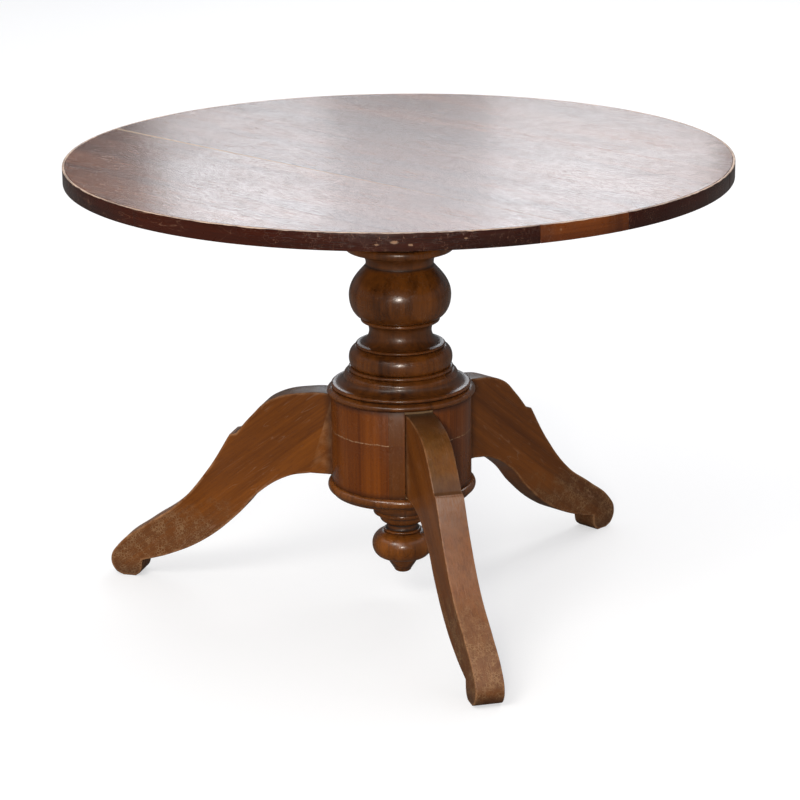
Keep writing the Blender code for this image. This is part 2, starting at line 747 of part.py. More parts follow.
def make_finial():
    dowel_top = FOOT_RING_BOTTOM + FINIAL_DOWEL_LENGTH
    bottom = FINIAL_TOP - FINIAL_LENGTH
    outline = turned_outline(FINIAL, FINIAL[0][1] + 0.014, FINIAL_TOP, bottom)
    profile = [(0.0, dowel_top), (FINIAL_DOWEL_RADIUS, dowel_top), (FINIAL_DOWEL_RADIUS, FINIAL_TOP)]
    profile += [*outline, (0.0, bottom)]
    mesh = turned_mesh("drop_finial", profile, steps=FINIAL_STEPS)
    add_part("drop_finial", mesh, "turned_walnut")


def make_leg(name, angle):
    """A sawn scroll leg, hollowed to sit on the drum, whose dovetail fills a housing in it."""
    turn = Matrix.Rotation(math.radians(angle), 4, "Z")
    inside = CORE_RADIUS - CUT
    points = [(inside, LEG_UNDERSIDE), (inside, LEG_RISE)]
    points += [(DRUM_RADIUS + LEG_REACH * out, LEG_RISE * up) for out, up, _ in LEG_OUTLINE]
    handles = ["VECTOR", "VECTOR"]
    handles += ["AUTO" if smooth else "VECTOR" for _, _, smooth in LEG_OUTLINE]
    place = turn @ Matrix.Rotation(math.pi / 2, 4, "X")
    mesh = outline_mesh(name, points, LEG_THICKNESS, place, "BEZIER", handles)
    leg = add_part(name, mesh, "leg_walnut")
    bevel(leg, LEG_ARRIS)
    cutter = f"{name}_shoulder"
    height = LEG_RISE + 2 * CUT
    mesh = cylinder_mesh(cutter, CORE_RADIUS + GAP, height, level(height / 2 - CUT), TURN_STEPS)
    boolean(leg, add_helper(cutter, mesh))
    tail = f"{name}_dovetail"
    top = DRUM_TOP - DOVETAIL_TOP
    length = top - LEG_UNDERSIDE - LEG_ARRIS
    middle = turn @ level(top - length / 2)
    boolean(leg, add_helper(tail, outline_mesh(tail, dovetail_outline(0), length, middle)), "UNION")


clear_scene()
PARTS = new_collection("round_pedestal_table")
CUTTERS = new_collection("cutters")
top_planks = make_planks()
make_lipping()
make_bearers(top_planks)
pivot_block = make_block()
make_catch(pivot_block)
make_column()
make_drum()
make_finial()
for leg_name, leg_angle in zip(("leg_back", "leg_left", "leg_right"), leg_angles()):
    make_leg(leg_name, leg_angle)
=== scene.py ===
# %% [markdown]
# # A round tilt-top pedestal table
# An old walnut table: a round planked top, a turned column, a veneered drum that three scroll legs
# are housed in, and a turned drop under the drum. The frame that is loaded here holds every sub-part
# at its real size. This lesson makes the surfaces that one sees, as fine meshes with real wood
# finishes, and it leaves the frame's own sizes and places as they are.

import math

import bmesh
import bpy
import numpy as np
from mathutils import Matrix, Vector


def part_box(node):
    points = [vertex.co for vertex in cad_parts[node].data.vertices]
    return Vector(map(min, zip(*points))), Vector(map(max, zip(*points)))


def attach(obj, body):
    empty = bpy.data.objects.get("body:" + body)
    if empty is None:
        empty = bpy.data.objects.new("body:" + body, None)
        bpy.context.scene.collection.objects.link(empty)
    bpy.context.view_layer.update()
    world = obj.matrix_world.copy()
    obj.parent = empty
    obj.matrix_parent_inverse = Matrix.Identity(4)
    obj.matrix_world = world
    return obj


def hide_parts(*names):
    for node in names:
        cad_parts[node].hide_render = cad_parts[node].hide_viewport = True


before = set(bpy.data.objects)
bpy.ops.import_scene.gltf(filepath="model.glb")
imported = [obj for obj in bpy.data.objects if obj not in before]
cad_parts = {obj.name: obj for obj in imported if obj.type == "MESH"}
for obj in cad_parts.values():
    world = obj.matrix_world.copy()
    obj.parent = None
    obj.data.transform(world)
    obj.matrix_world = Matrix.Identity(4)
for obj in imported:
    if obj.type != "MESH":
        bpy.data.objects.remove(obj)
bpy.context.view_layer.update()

# %% [markdown]
# ## The camera
# The camera comes first, because every finish is judged through it. It stands a little over four
# metres away, above the height of a person's eyes, and looks down on the table with a long lens. A
# long lens keeps the round top an even ellipse. Its place is given as an azimuth, a distance and a
# height, which is how one would say it in a studio.

# %% Camera
CAMERA_AZIMUTH = 45.2945
CAMERA_DISTANCE = 4.356
CAMERA_HEIGHT = 1.6527
CAMERA_PITCH = 16.817
CAMERA_ROLL = 0.61
CAMERA_ASIDE = 0.024
LENS = 126.0

camera_data = bpy.data.cameras.new("camera")
camera_data.lens = LENS
camera = bpy.data.objects.new("camera", camera_data)
bpy.context.scene.collection.objects.link(camera)
azimuth = math.radians(CAMERA_AZIMUTH)
camera.location = (
    CAMERA_DISTANCE * math.sin(azimuth),
    -CAMERA_DISTANCE * math.cos(azimuth),
    CAMERA_HEIGHT,
)
turn_to_table = Matrix.Rotation(azimuth + math.radians(CAMERA_ASIDE), 4, "Z")
look_down = Matrix.Rotation(math.radians(90 - CAMERA_PITCH), 4, "X")
roll = Matrix.Rotation(math.radians(-CAMERA_ROLL), 4, "Z")
camera.rotation_euler = (turn_to_table @ look_down @ roll).to_euler()
bpy.context.scene.camera = camera
print("camera at", [round(c, 3) for c in camera.location], "looking down", CAMERA_PITCH, "degrees")

# %% [markdown]
# ## Floor and light
# A polished top is a mirror at this low angle: it shows what stands behind the table far more than it
# shows its own colour. So the studio has a plain pale floor, a soft even sky, and tall soft boxes
# behind the table with a gap between them. The gap is what leaves the dark band across the middle of
# the top. A smaller soft lamp close to the camera puts one round highlight on each turned moulding.
# The floor and the sky are pale only for the camera, and the floor glows a little there. For every
# other ray they are darker: a white floor close under a dark polished piece would veil its colour
# with its own reflection.

# %% Floor
FLOOR_SIZE = 60.0
FLOOR_LEVEL = -0.0005
FLOOR_SEEN = (0.47, 0.47, 0.475, 1.0)
FLOOR_BOUNCE = (0.13, 0.125, 0.12, 1.0)
NO_GLOW = (0.0, 0.0, 0.0, 1.0)
FLOOR_GLOW = 1.15


def deselect_all():
    """An operator acts on all that is selected, so nothing is left selected before one."""
    if bpy.context.object and bpy.context.object.mode != "OBJECT":
        bpy.ops.object.mode_set(mode="OBJECT")
    for chosen in bpy.context.selected_objects:
        chosen.select_set(False)
    bpy.context.view_layer.objects.active = None


deselect_all()
bpy.ops.mesh.primitive_plane_add(size=FLOOR_SIZE, location=(0, 0, FLOOR_LEVEL))
floor = bpy.context.object
floor.name = "floor"
floor_paint = bpy.data.materials.new("floor_paint")
floor_paint.use_nodes = True
floor_shader = floor_paint.node_tree.nodes["Principled BSDF"]
seen_directly = floor_paint.node_tree.nodes.new("ShaderNodeLightPath").outputs["Is Camera Ray"]
for socket, unseen in (("Base Color", FLOOR_BOUNCE), ("Emission Color", NO_GLOW)):
    floor_colour = floor_paint.node_tree.nodes.new("ShaderNodeMix")
    floor_colour.data_type = "RGBA"
    floor_colour.inputs["A"].default_value = unseen
    floor_colour.inputs["B"].default_value = FLOOR_SEEN
    floor_paint.node_tree.links.new(seen_directly, floor_colour.inputs["Factor"])
    floor_paint.node_tree.links.new(floor_colour.outputs["Result"], floor_shader.inputs[socket])
floor_shader.inputs["Emission Strength"].default_value = FLOOR_GLOW
floor_shader.inputs["Roughness"].default_value = 0.9
floor_shader.inputs["Specular IOR Level"].default_value = 0.1
floor.data.materials.append(floor_paint)
print("floor", floor.dimensions[0], "m square")

# %% Sky and soft boxes
SKY = (0.93, 0.96, 1.0, 1.0)
SKY_STRENGTH = 0.17
SKY_SEEN = 0.90

world = bpy.data.worlds.new("studio")
world.use_nodes = True
background = world.node_tree.nodes["Background"]
background.inputs["Color"].default_value = SKY
sky_strength = world.node_tree.nodes.new("ShaderNodeMapRange")
world.node_tree.links.new(world.node_tree.nodes.new("ShaderNodeLightPath").outputs["Is Camera Ray"],
                          sky_strength.inputs["Value"])
sky_strength.inputs["To Min"].default_value = SKY_STRENGTH
sky_strength.inputs["To Max"].default_value = SKY_SEEN
world.node_tree.links.new(sky_strength.outputs[0], background.inputs["Strength"])
bpy.context.scene.world = world
bpy.context.scene.view_settings.view_transform = "Standard"


def soft_box(name, across, depth, height, width, tall, watts, colour=(1, 1, 1), aim=(0, 0, 0.6)):
    """A rectangular lamp, placed across and behind the table as the camera sees it, facing aim."""
    data = bpy.data.lights.new(name, "AREA")
    data.shape = "RECTANGLE"
    data.size = width
    data.size_y = tall
    data.energy = watts
    data.color = colour
    lamp = bpy.data.objects.new(name, data)
    bpy.context.scene.collection.objects.link(lamp)
    lamp.location = Matrix.Rotation(azimuth, 4, "Z") @ Vector((across, depth, height))
    lamp.rotation_euler = (Vector(aim) - lamp.location).to_track_quat("-Z", "Y").to_euler()
    lamp.visible_camera = False
    return lamp


BACK = 7.0
soft_box("soft_box_left", -0.66, BACK, 2.45, 0.76, 1.30, 3.2, colour=(0.94, 0.97, 1.0))
soft_box("soft_box_right", 0.84, BACK, 2.45, 0.94, 1.30, 4.3, colour=(0.94, 0.97, 1.0))
soft_box("soft_box_behind", 0.20, BACK + 0.5, 3.45, 2.5, 2.40, 36, colour=(0.86, 0.93, 1.0))
soft_box("soft_box_above", 0.0, 0.0, 6.0, 16.0, 16.0, 660, aim=(0, 0, 0))
soft_box("soft_box_far_side", 2.6, 4.2, 5.6, 3.0, 3.0, 130)
soft_box("soft_box_side", -2.6, -4.2, 4.8, 2.6, 2.6, 190, colour=(1.0, 0.97, 0.92))
soft_box("lamp_by_camera", -0.25, -4.6, 1.60, 0.50, 0.40, 92, colour=(1.0, 0.93, 0.84))

# %% [markdown]
# ## Small helpers for modelling
# Modelling by operators means: go into edit mode, select the right faces or edges, run an operator.
# In a script the selecting is done by a test on each face or edge, on its place or its normal.

# %% Edit-mode helpers
def choose(piece):
    """Leaves this piece alone selected and active, as an operator needs it."""
    deselect_all()
    piece.select_set(True)
    bpy.context.view_layer.objects.active = piece


def start_edit(piece):
    choose(piece)
    bpy.ops.object.mode_set(mode="EDIT")


def pick(piece, test, kind="FACE"):
    """Selects the vertices, edges or faces that pass a test, and says how many there are."""
    bpy.ops.mesh.select_mode(type=kind)
    bpy.ops.mesh.select_all(action="DESELECT")
    shape = bmesh.from_edit_mesh(piece.data)
    things = {"VERT": shape.verts, "EDGE": shape.edges, "FACE": shape.faces}[kind]
    chosen = [thing for thing in things if test(thing)]
    for thing in chosen:
        thing.select_set(True)
    bmesh.update_edit_mesh(piece.data)
    return len(chosen)


def apply_modifier(piece, kind, **values):
    """Adds a modifier, sets it, and applies it."""
    choose(piece)
    modifier = piece.modifiers.new(kind.lower(), kind)
    for key, value in values.items():
        setattr(modifier, key, value)
    bpy.ops.object.modifier_apply(modifier=modifier.name)


def close_up(piece):
    """Welds doubled points and turns every face outwards."""
    start_edit(piece)
    bpy.ops.mesh.select_all(action="SELECT")
    bpy.ops.mesh.remove_doubles(threshold=0.00001)
    bpy.ops.mesh.normals_make_consistent(inside=False)
    bpy.ops.object.mode_set(mode="OBJECT")


def put_in_mesh(piece):
    """Leaves the object at the origin, unturned and unscaled, with its place in its mesh."""
    choose(piece)
    bpy.ops.object.transform_apply(location=True, rotation=True, scale=True)


def smooth(piece, degrees=35.0):
    choose(piece)
    bpy.ops.object.shade_smooth_by_angle(angle=math.radians(degrees))


def points_of(piece):
    """The piece's points as an array of x, y, z rows."""
    places = np.empty(len(piece.data.vertices) * 3, np.float32)
    piece.data.vertices.foreach_get("co", places)
    return places.reshape(-1, 3)


def write_attribute(piece, name, values, kind="FLOAT"):
    """Stores one number, or one vector, on every point for the finish to read."""
    attribute = piece.data.attributes.new(name, kind, "POINT")
    field = "value" if kind == "FLOAT" else "vector"
    attribute.data.foreach_set(field, np.asarray(values, np.float32).ravel())


def copy_of(piece, name):
    """A copy of a piece with its own mesh."""
    copy = piece.copy()
    copy.data = piece.data.copy()
    copy.name = name
    bpy.context.scene.collection.objects.link(copy)
    return copy


def settle(piece, finish, body, node):
    """The piece gets its finish, rides on its body, and stands for its frame node."""
    piece.data.materials.clear()
    piece.data.materials.append(finish)
    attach(piece, body)
    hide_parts(node)
    print(piece.name, len(piece.data.polygons), "faces")


# %% [markdown]
# ## Small helpers for finishes
# A finish is a tree of shader nodes. These helpers add a node, join it and place its values in one
# line each, so that a finish reads from top to bottom.

# %% Node helpers
def new_group(name, inputs, outputs):
    """A node group with named inputs (name, socket, default) and outputs (name, socket)."""
    group = bpy.data.node_groups.new(name, "ShaderNodeTree")
    for label, socket, value in inputs:
        made = group.interface.new_socket(name=label, in_out="INPUT", socket_type=socket)
        if value is not None:
            made.default_value = value
    for label, socket in outputs:
        group.interface.new_socket(name=label, in_out="OUTPUT", socket_type=socket)
    return group, group.nodes.new("NodeGroupInput"), group.nodes.new("NodeGroupOutput")


def join(tree, source, target):
    tree.links.new(source, target)


def feed(tree, socket, value):
    """A socket takes either another node's output or a plain value."""
    if isinstance(value, bpy.types.NodeSocket):
        tree.links.new(value, socket)
    elif value is not None:
        socket.default_value = value


def maths(tree, operation, first, second=None, third=None, clamp=False):
    node = tree.nodes.new("ShaderNodeMath")
    node.operation = operation
    node.use_clamp = clamp
    for socket, value in zip(node.inputs, (first, second, third)):
        feed(tree, socket, value)
    return node.outputs[0]


def times(tree, first, second):
    return maths(tree, "MULTIPLY", first, second)


def plus(tree, first, second):
    return maths(tree, "ADD", first, second)


def less(tree, first, second):
    return maths(tree, "SUBTRACT", first, second)


def ramp(tree, value, low, high, start=0.0, end=1.0):
    """start below low, end above high, and an even slope between them."""
    node = tree.nodes.new("ShaderNodeMapRange")
    for socket, given in zip(node.inputs, (value, low, high, start, end)):
        feed(tree, socket, given)
    return node.outputs[0]


def mix(tree, share, first, second, blend="MIX"):
    """Two colours mixed by a share."""
    node = tree.nodes.new("ShaderNodeMix")
    node.data_type = "RGBA"
    node.blend_type = blend
    feed(tree, node.inputs["Factor"], share)
    feed(tree, node.inputs["A"], first)
    feed(tree, node.inputs["B"], second)
    return node.outputs["Result"]


def tint(tree, colour, mask, amount, towards):
    """The colour taken a share of the way to another one, where a mask says."""
    return mix(tree, times(tree, mask, amount), colour, towards)


def noise(tree, place, scale, detail=4.0, roughness=0.55, distortion=0.0):
    node = tree.nodes.new("ShaderNodeTexNoise")
    feed(tree, node.inputs["Vector"], place)
    feed(tree, node.inputs["Scale"], scale)
    node.inputs["Detail"].default_value = detail
    node.inputs["Roughness"].default_value = roughness
    node.inputs["Distortion"].default_value = distortion
    return node.outputs["Fac"]


def stretched(tree, place, scale, turn=(0, 0, 0), shift=(0, 0, 0)):
    """Coordinates scaled by axis, so that a pattern is drawn out along the axis with a low scale."""
    node = tree.nodes.new("ShaderNodeMapping")
    node.inputs["Scale"].default_value = scale
    node.inputs["Rotation"].default_value = [math.radians(a) for a in turn]
    node.inputs["Location"].default_value = shift
    feed(tree, node.inputs["Vector"], place)
    return node.outputs[0]


def drawn_out(tree, place, scale, detail=4.0, roughness=0.55, distortion=0.0):
    """Noise that is scaled by axis."""
    return noise(tree, stretched(tree, place, scale), 1.0, detail, roughness, distortion)


def split(tree, vector):
    node = tree.nodes.new("ShaderNodeSeparateXYZ")
    feed(tree, node.inputs[0], vector)
    return node.outputs


def attribute(tree, name, kind="Fac"):
    node = tree.nodes.new("ShaderNodeAttribute")
    node.attribute_name = name
    return node.outputs[kind]


def place_group(tree, group, **values):
    """Places a node group, with spaces in an input's name written as underscores."""
    node = tree.nodes.new("ShaderNodeGroup")
    node.node_tree = group
    for label, value in values.items():
        feed(tree, node.inputs[label.replace("_", " ")], value)
    return node.outputs


print("helpers ready")

# %% [markdown]
# ## Walnut grain, as a node group
# Sawn walnut shows three things at once: broad light and dark figure that wanders along the board,
# fine straight fibres, and pores, which are short dark dashes. Each is a noise that is stretched
# along the grain by another amount. The group runs its grain along X of the place it is given, so
# each piece turns its own coordinates first. It puts out the colour, the height for a bump and the
# pores as a mask.

# %% Grain group
def make_grain():
    inputs = [
        ("Place", "NodeSocketVector", None),
        ("Dark", "NodeSocketColor", (0.05, 0.02, 0.01, 1.0)),
        ("Light", "NodeSocketColor", (0.2, 0.08, 0.04, 1.0)),
        ("Figure", "NodeSocketFloat", 9.0),
        ("Fibre", "NodeSocketFloat", 150.0),
        ("Contrast", "NodeSocketFloat", 1.0),
    ]
    outputs = [("Colour", "NodeSocketColor"), ("Height", "NodeSocketFloat"), ("Pores", "NodeSocketFloat")]
    tree, given, result = new_group("walnut_grain", inputs, outputs)
    place = given.outputs["Place"]
    sway = drawn_out(tree, place, (1.2, 5.0, 5.0), 2.0)
    swayed = tree.nodes.new("ShaderNodeVectorMath")
    swayed.operation = "MULTIPLY_ADD"
    join(tree, place, swayed.inputs[2])
    feed(tree, swayed.inputs[1], (0.0, 0.022, 0.022))
    offset = tree.nodes.new("ShaderNodeCombineXYZ")
    for axis in "YZ":
        join(tree, sway, offset.inputs[axis])
    join(tree, offset.outputs[0], swayed.inputs[0])
    board = swayed.outputs[0]
    fibre = given.outputs["Fibre"]
    figure = noise(tree, stretched(tree, board, (0.12, 1.0, 1.0)), given.outputs["Figure"], 3.0, 0.6)
    bands = noise(tree, stretched(tree, board, (0.04, 1.0, 1.0)), maths(
        tree, "MULTIPLY", given.outputs["Figure"], 6.0), 3.0, 0.6)
    streaks = noise(tree, stretched(tree, board, (0.03, 1.0, 1.0)), fibre, 3.0, 0.7)
    fibres = noise(tree, stretched(tree, board, (0.025, 1.0, 1.0)), times(tree, fibre, 4.0), 2.0)
    dashes = noise(tree, stretched(tree, board, (0.05, 1.0, 1.0)), times(tree, fibre, 7.0), 2.0)
    pores = ramp(tree, dashes, 0.58, 0.72)
    tone = maths(tree, "MULTIPLY_ADD", ramp(tree, figure, 0.36, 0.64), 0.40,
                 times(tree, ramp(tree, bands, 0.34, 0.66), 0.28))
    tone = maths(tree, "MULTIPLY_ADD", ramp(tree, streaks, 0.32, 0.68), 0.22, tone)
    tone = maths(tree, "MULTIPLY_ADD", ramp(tree, fibres, 0.30, 0.70), 0.14, tone)
    tone = maths(tree, "MULTIPLY_ADD", less(tree, tone, 0.5), given.outputs["Contrast"],
                 0.5, clamp=True)
    colour = mix(tree, tone, given.outputs["Dark"], given.outputs["Light"])
    darker = mix(tree, times(tree, pores, 0.55), colour, given.outputs["Dark"])
    join(tree, darker, result.inputs["Colour"])
    height = less(tree, times(tree, fibres, 0.35), pores)
    join(tree, height, result.inputs["Height"])
    join(tree, pores, result.inputs["Pores"])
    return tree


walnut_grain = make_grain()
print("walnut_grain has", len(walnut_grain.nodes), "nodes")

# %% [markdown]
# ## Use and age, as a node group
# A polished piece that is a hundred and fifty years old has fine scratches in every direction, small
# dents, dull patches where the polish has gone, and dust in what is hollow. The scratches are thin
# lines where a stretched noise crosses its middle value. The group puts out each of them as a mask, and
# every finish says how much of each it wants.

# %% Wear group
def make_wear():
    inputs = [("Place", "NodeSocketVector", None), ("Scale", "NodeSocketFloat", 1.0)]
    outputs = [(label, "NodeSocketFloat") for label in ("Scratches", "Dents", "Dull", "Speckle")]
    tree, given, result = new_group("age_and_use", inputs, outputs)
    sized = tree.nodes.new("ShaderNodeVectorMath")
    sized.operation = "SCALE"
    join(tree, given.outputs["Place"], sized.inputs[0])
    join(tree, given.outputs["Scale"], sized.inputs["Scale"])
    place = sized.outputs[0]
    lines = None
    for angle in (17.0, 74.0, 141.0):
        drawn = noise(tree, stretched(tree, place, (3.0, 95.0, 40.0), (angle, 0.4 * angle, angle)), 1.0, 2.0)
        off = maths(tree, "ABSOLUTE", less(tree, drawn, 0.5))
        line = ramp(tree, off, 0.0, 0.006, 1.0, 0.0)
        here = ramp(tree, noise(tree, place, 11.0 + angle / 9, 1.0), 0.54, 0.60)
        line = times(tree, line, here)
        lines = line if lines is None else maths(tree, "MAXIMUM", lines, line)
    join(tree, lines, result.inputs["Scratches"])
    pits = tree.nodes.new("ShaderNodeTexVoronoi")
    feed(tree, pits.inputs["Vector"], place)
    pits.inputs["Scale"].default_value = 38.0
    few = ramp(tree, noise(tree, place, 21.0, 1.0), 0.60, 0.66)
    dents = times(tree, ramp(tree, pits.outputs["Distance"], 0.06, 0.15, 1.0, 0.0), few)
    join(tree, dents, result.inputs["Dents"])
    join(tree, ramp(tree, noise(tree, place, 5.0, 5.0, 0.65), 0.42, 0.68), result.inputs["Dull"])
    grains = noise(tree, place, 420.0, 2.0, 0.6)
    clouds = noise(tree, place, 34.0, 3.0, 0.6)
    spots = times(tree, ramp(tree, grains, 0.50, 0.66), ramp(tree, clouds, 0.38, 0.62))
    join(tree, spots, result.inputs["Speckle"])
    return tree


age_and_use = make_wear()
print("age_and_use has", len(age_and_use.nodes), "nodes")

# %% [markdown]
# ## From grain to finish
# All the polished woods of this table end in the same way: a colour, a roughness that scratches and
# dull patches raise, and a bump. What is common is one function. What differs, such as where the
# polish is worn through, is worked out by each finish before it calls this.

# %% Finish helpers
def new_finish(name):
    material = bpy.data.materials.new(name)
    material.use_nodes = True
    tree = material.node_tree
    here = tree.nodes.new("ShaderNodeTexCoord").outputs["Object"]
    return material, tree, here


def finish_wood(tree, colour, roughness, height, distance=0.0004, strength=0.5, coat=0.0, coat_rough=0.1,
                shine=0.5):
    """Joins colour, roughness and height to the Principled shader."""
    shader = tree.nodes["Principled BSDF"]
    bump = tree.nodes.new("ShaderNodeBump")
    bump.inputs["Distance"].default_value = distance
    bump.inputs["Strength"].default_value = strength
    feed(tree, bump.inputs["Height"], height)
    join(tree, bump.outputs[0], shader.inputs["Normal"])
    feed(tree, shader.inputs["Base Color"], colour)
    feed(tree, shader.inputs["Roughness"], roughness)
    shader.inputs["Specular IOR Level"].default_value = shine
    feed(tree, shader.inputs["Coat Weight"], coat)
    shader.inputs["Coat Roughness"].default_value = coat_rough
    return shader


def total(tree, *terms, base=None):
    """The sum of (value, weight) pairs, and of a base where one is given."""
    added = None
    for value, weight in terms:
        share = times(tree, value, weight)
        added = share if added is None else plus(tree, added, share)
    return added if base is None else plus(tree, added, base)


print("finish helpers ready")

# %% [markdown]
# ## The planks' finish
# The top is five planks side by side, so each plank has its own tone and its own cut through the
# figure: a number that changes at every joint shifts the pattern. Most joints show as a change of
# tone. One has opened a little and is a pale line of old polish and dust, plainest towards one end.
# The polish has shrunk into the grain, which leaves fine wrinkles along the boards. They blur the
# reflection more than anything else. The underside is browner and duller, because it was never
# polished.

# %% Planks: finish
SEAMS = sorted(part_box(f"top_plank_{number}")[1].y for number in range(1, 5))
OPEN_SEAM = SEAMS[1]
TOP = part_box("top_plank_3")[1].z
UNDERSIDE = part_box("top_plank_3")[0].z
PLANKS_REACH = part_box("top_plank_3")[1].x
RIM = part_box("lipping_1")[1].y


def make_top_finish():
    material, tree, here = new_finish("top_polish")
    x, y, z = split(tree, here)
    number = None
    for seam in SEAMS:
        past = maths(tree, "GREATER_THAN", y, seam)
        number = past if number is None else plus(tree, number, past)
    shift = tree.nodes.new("ShaderNodeCombineXYZ")
    join(tree, times(tree, number, 3.7), shift.inputs["X"])
    join(tree, times(tree, number, 1.9), shift.inputs["Z"])
    moved = tree.nodes.new("ShaderNodeVectorMath")
    join(tree, here, moved.inputs[0])
    join(tree, shift.outputs[0], moved.inputs[1])
    board = moved.outputs[0]
    grain = place_group(tree, walnut_grain, Place=board, Figure=8.0, Fibre=170.0, Contrast=1.25,
                        Dark=(0.055, 0.016, 0.006, 1), Light=(0.270, 0.092, 0.032, 1))
    wear = place_group(tree, age_and_use, Place=here)
    tone = noise(tree, shift.outputs[0], 1.3, 0.0)
    colour = mix(tree, ramp(tree, tone, 0.3, 0.7, 0.0, 0.35), grain["Colour"], (0.10, 0.030, 0.018, 1))
    stain = ramp(tree, noise(tree, here, 3.1, 4.0, 0.6), 0.52, 0.70)
    colour = tint(tree, colour, stain, 0.30, (0.045, 0.018, 0.014, 1))
    wander = maths(tree, "MULTIPLY_ADD", drawn_out(tree, here, (6, 0, 0)), 0.0016, -0.0008)
    off = maths(tree, "ABSOLUTE", less(tree, plus(tree, y, wander), OPEN_SEAM))
    joint = ramp(tree, off, 0.0010, 0.0030, 1.0, 0.0)
    to_end = ramp(tree, x, 0.25, -0.40, 0.22, 1.0)
    pale = times(tree, joint, to_end)
    halo = times(tree, ramp(tree, off, 0.0, 0.016, 1.0, 0.0), to_end)
    colour = tint(tree, colour, halo, 0.35, (0.26, 0.14, 0.07, 1))
    colour = tint(tree, colour, pale, 0.9, (0.50, 0.37, 0.24, 1))
    worn_grain = drawn_out(tree, board, (22.0, 200.0, 200.0), 3.0, 0.75)
    colour = mix(tree, ramp(tree, worn_grain, 0.50, 0.72, 0.0, 0.55), colour, (0.020, 0.007, 0.004, 1))
    scratch = wear["Scratches"]
    colour = tint(tree, colour, scratch, 0.35, (0.42, 0.28, 0.20, 1))
    lines = drawn_out(tree, board, (13.0, 90.0, 90.0), 3.0, 0.6, 0.4)
    wrinkles = drawn_out(tree, board, (60.0, 240.0, 240.0), 3.0, 0.7, 0.6)
    slow = noise(tree, here, 5.0, 1.0)
    height = total(tree, (lines, 0.60), (wrinkles, 1.0), (slow, 0.7), (grain["Height"], 0.24),
                   (scratch, -0.25), (wear["Dents"], -0.5), (pale, 0.25), (halo, 0.7))
    roughness = total(tree, (wear["Dull"], 0.10), (scratch, 0.14), (worn_grain, 0.10), (pale, 0.3))
    below = maths(tree, "LESS_THAN", z, UNDERSIDE + 0.0010)
    colour = mix(tree, times(tree, below, 0.75), colour, mix(
        tree, ramp(tree, worn_grain, 0.30, 0.70), (0.080, 0.040, 0.018, 1), (0.190, 0.098, 0.046, 1)))
    roughness = maths(tree, "MULTIPLY_ADD", below, 0.40, plus(tree, roughness, 0.11))
    coat = maths(tree, "MULTIPLY_ADD", below, -0.30, 0.30)
    finish_wood(tree, colour, roughness, height, distance=0.00055, strength=0.55, coat=coat, coat_rough=0.14)
    return material


top_polish = make_top_finish()
print("joints at y =", [round(seam, 3) for seam in SEAMS])

# %% [markdown]
# ## The planks
# Each plank is a slice of a disc. A cylinder of the disc's size is cut by two planes with bisect,
# which is how a slice is sawn: what is beyond a plane is cleared and the cut is filled. Further
# bisects leave rows of points in the faces, so that the plank can be cupped: an old board rises a few
# tenths of a millimetre along its middle, and that is what bends the reflections from board to board.

# %% Planks
RIM_STEPS = 360
SEAM_GAP = 0.0003
ARRIS = 0.00012
CROWN = 0.00005
CROWN_WAVES = 7.0
RIM_FLAT = 0.15
CROWN_ROWS = 7
LONG_ROWS = 12


def saw(piece, place, normal, keep="both"):
    """Cuts the whole piece with a plane, and clears what is beyond it where that is asked."""
    start_edit(piece)
    bpy.ops.mesh.select_all(action="SELECT")
    bpy.ops.mesh.bisect(plane_co=place, plane_no=normal, use_fill=keep != "both",
                        clear_outer=keep == "inner", clear_inner=keep == "outer", threshold=0.000001)
    bpy.ops.object.mode_set(mode="OBJECT")


def make_plank(number):
    node = f"top_plank_{number}"
    low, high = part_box(node)
    deselect_all()
    bpy.ops.mesh.primitive_cylinder_add(vertices=RIM_STEPS, radius=PLANKS_REACH, depth=TOP - UNDERSIDE,
                                        location=(0, 0, (TOP + UNDERSIDE) / 2))
    plank = bpy.context.object
    plank.name = f"plank_{number}"
    put_in_mesh(plank)
    if number > 1:
        saw(plank, (0, low.y, 0), (0, 1, 0), keep="outer")
    if number < 5:
        saw(plank, (0, high.y, 0), (0, 1, 0), keep="inner")
    apply_modifier(plank, "BEVEL", width=ARRIS, segments=2, angle_limit=math.radians(60))
    for row in range(1, CROWN_ROWS):
        saw(plank, (0, low.y + (high.y - low.y) * row / CROWN_ROWS, 0), (0, 1, 0))
    for row in range(1, LONG_ROWS):
        saw(plank, (PLANKS_REACH * (2 * row / LONG_ROWS - 1), 0, 0), (1, 0, 0))
    places = points_of(plank)
    across = (places[:, 1] - low.y) / (high.y - low.y) * 2 - 1
    along = np.sin(places[:, 0] * CROWN_WAVES + number * 2.1) * 0.5
    near_rim = np.clip((PLANKS_REACH - np.hypot(places[:, 0], places[:, 1])) / RIM_FLAT, 0, 1)
    lift = CROWN * ((1 - across**2) + along * (1 - across**2)) * near_rim
    places[:, 2] += np.where(places[:, 2] > TOP - 2 * ARRIS, lift, 0.0)
    plank.data.vertices.foreach_set("co", places.ravel())
    plank.data.update()
    smooth(plank, 12)
    settle(plank, top_polish, "top", node)


for number in range(1, 6):
    make_plank(number)

# %% [markdown]
# ## The lipping's finish
# The lipping is thin solid wood bent round the edge, with its grain along the rim. Grain that follows
# a curve needs coordinates that follow it: the distance round the rim, the height and the distance
# from the axis are stored on every point. The strip is darker than the top because polish runs down
# and gathers there, and its upper arris is rubbed bare and pale by hands.

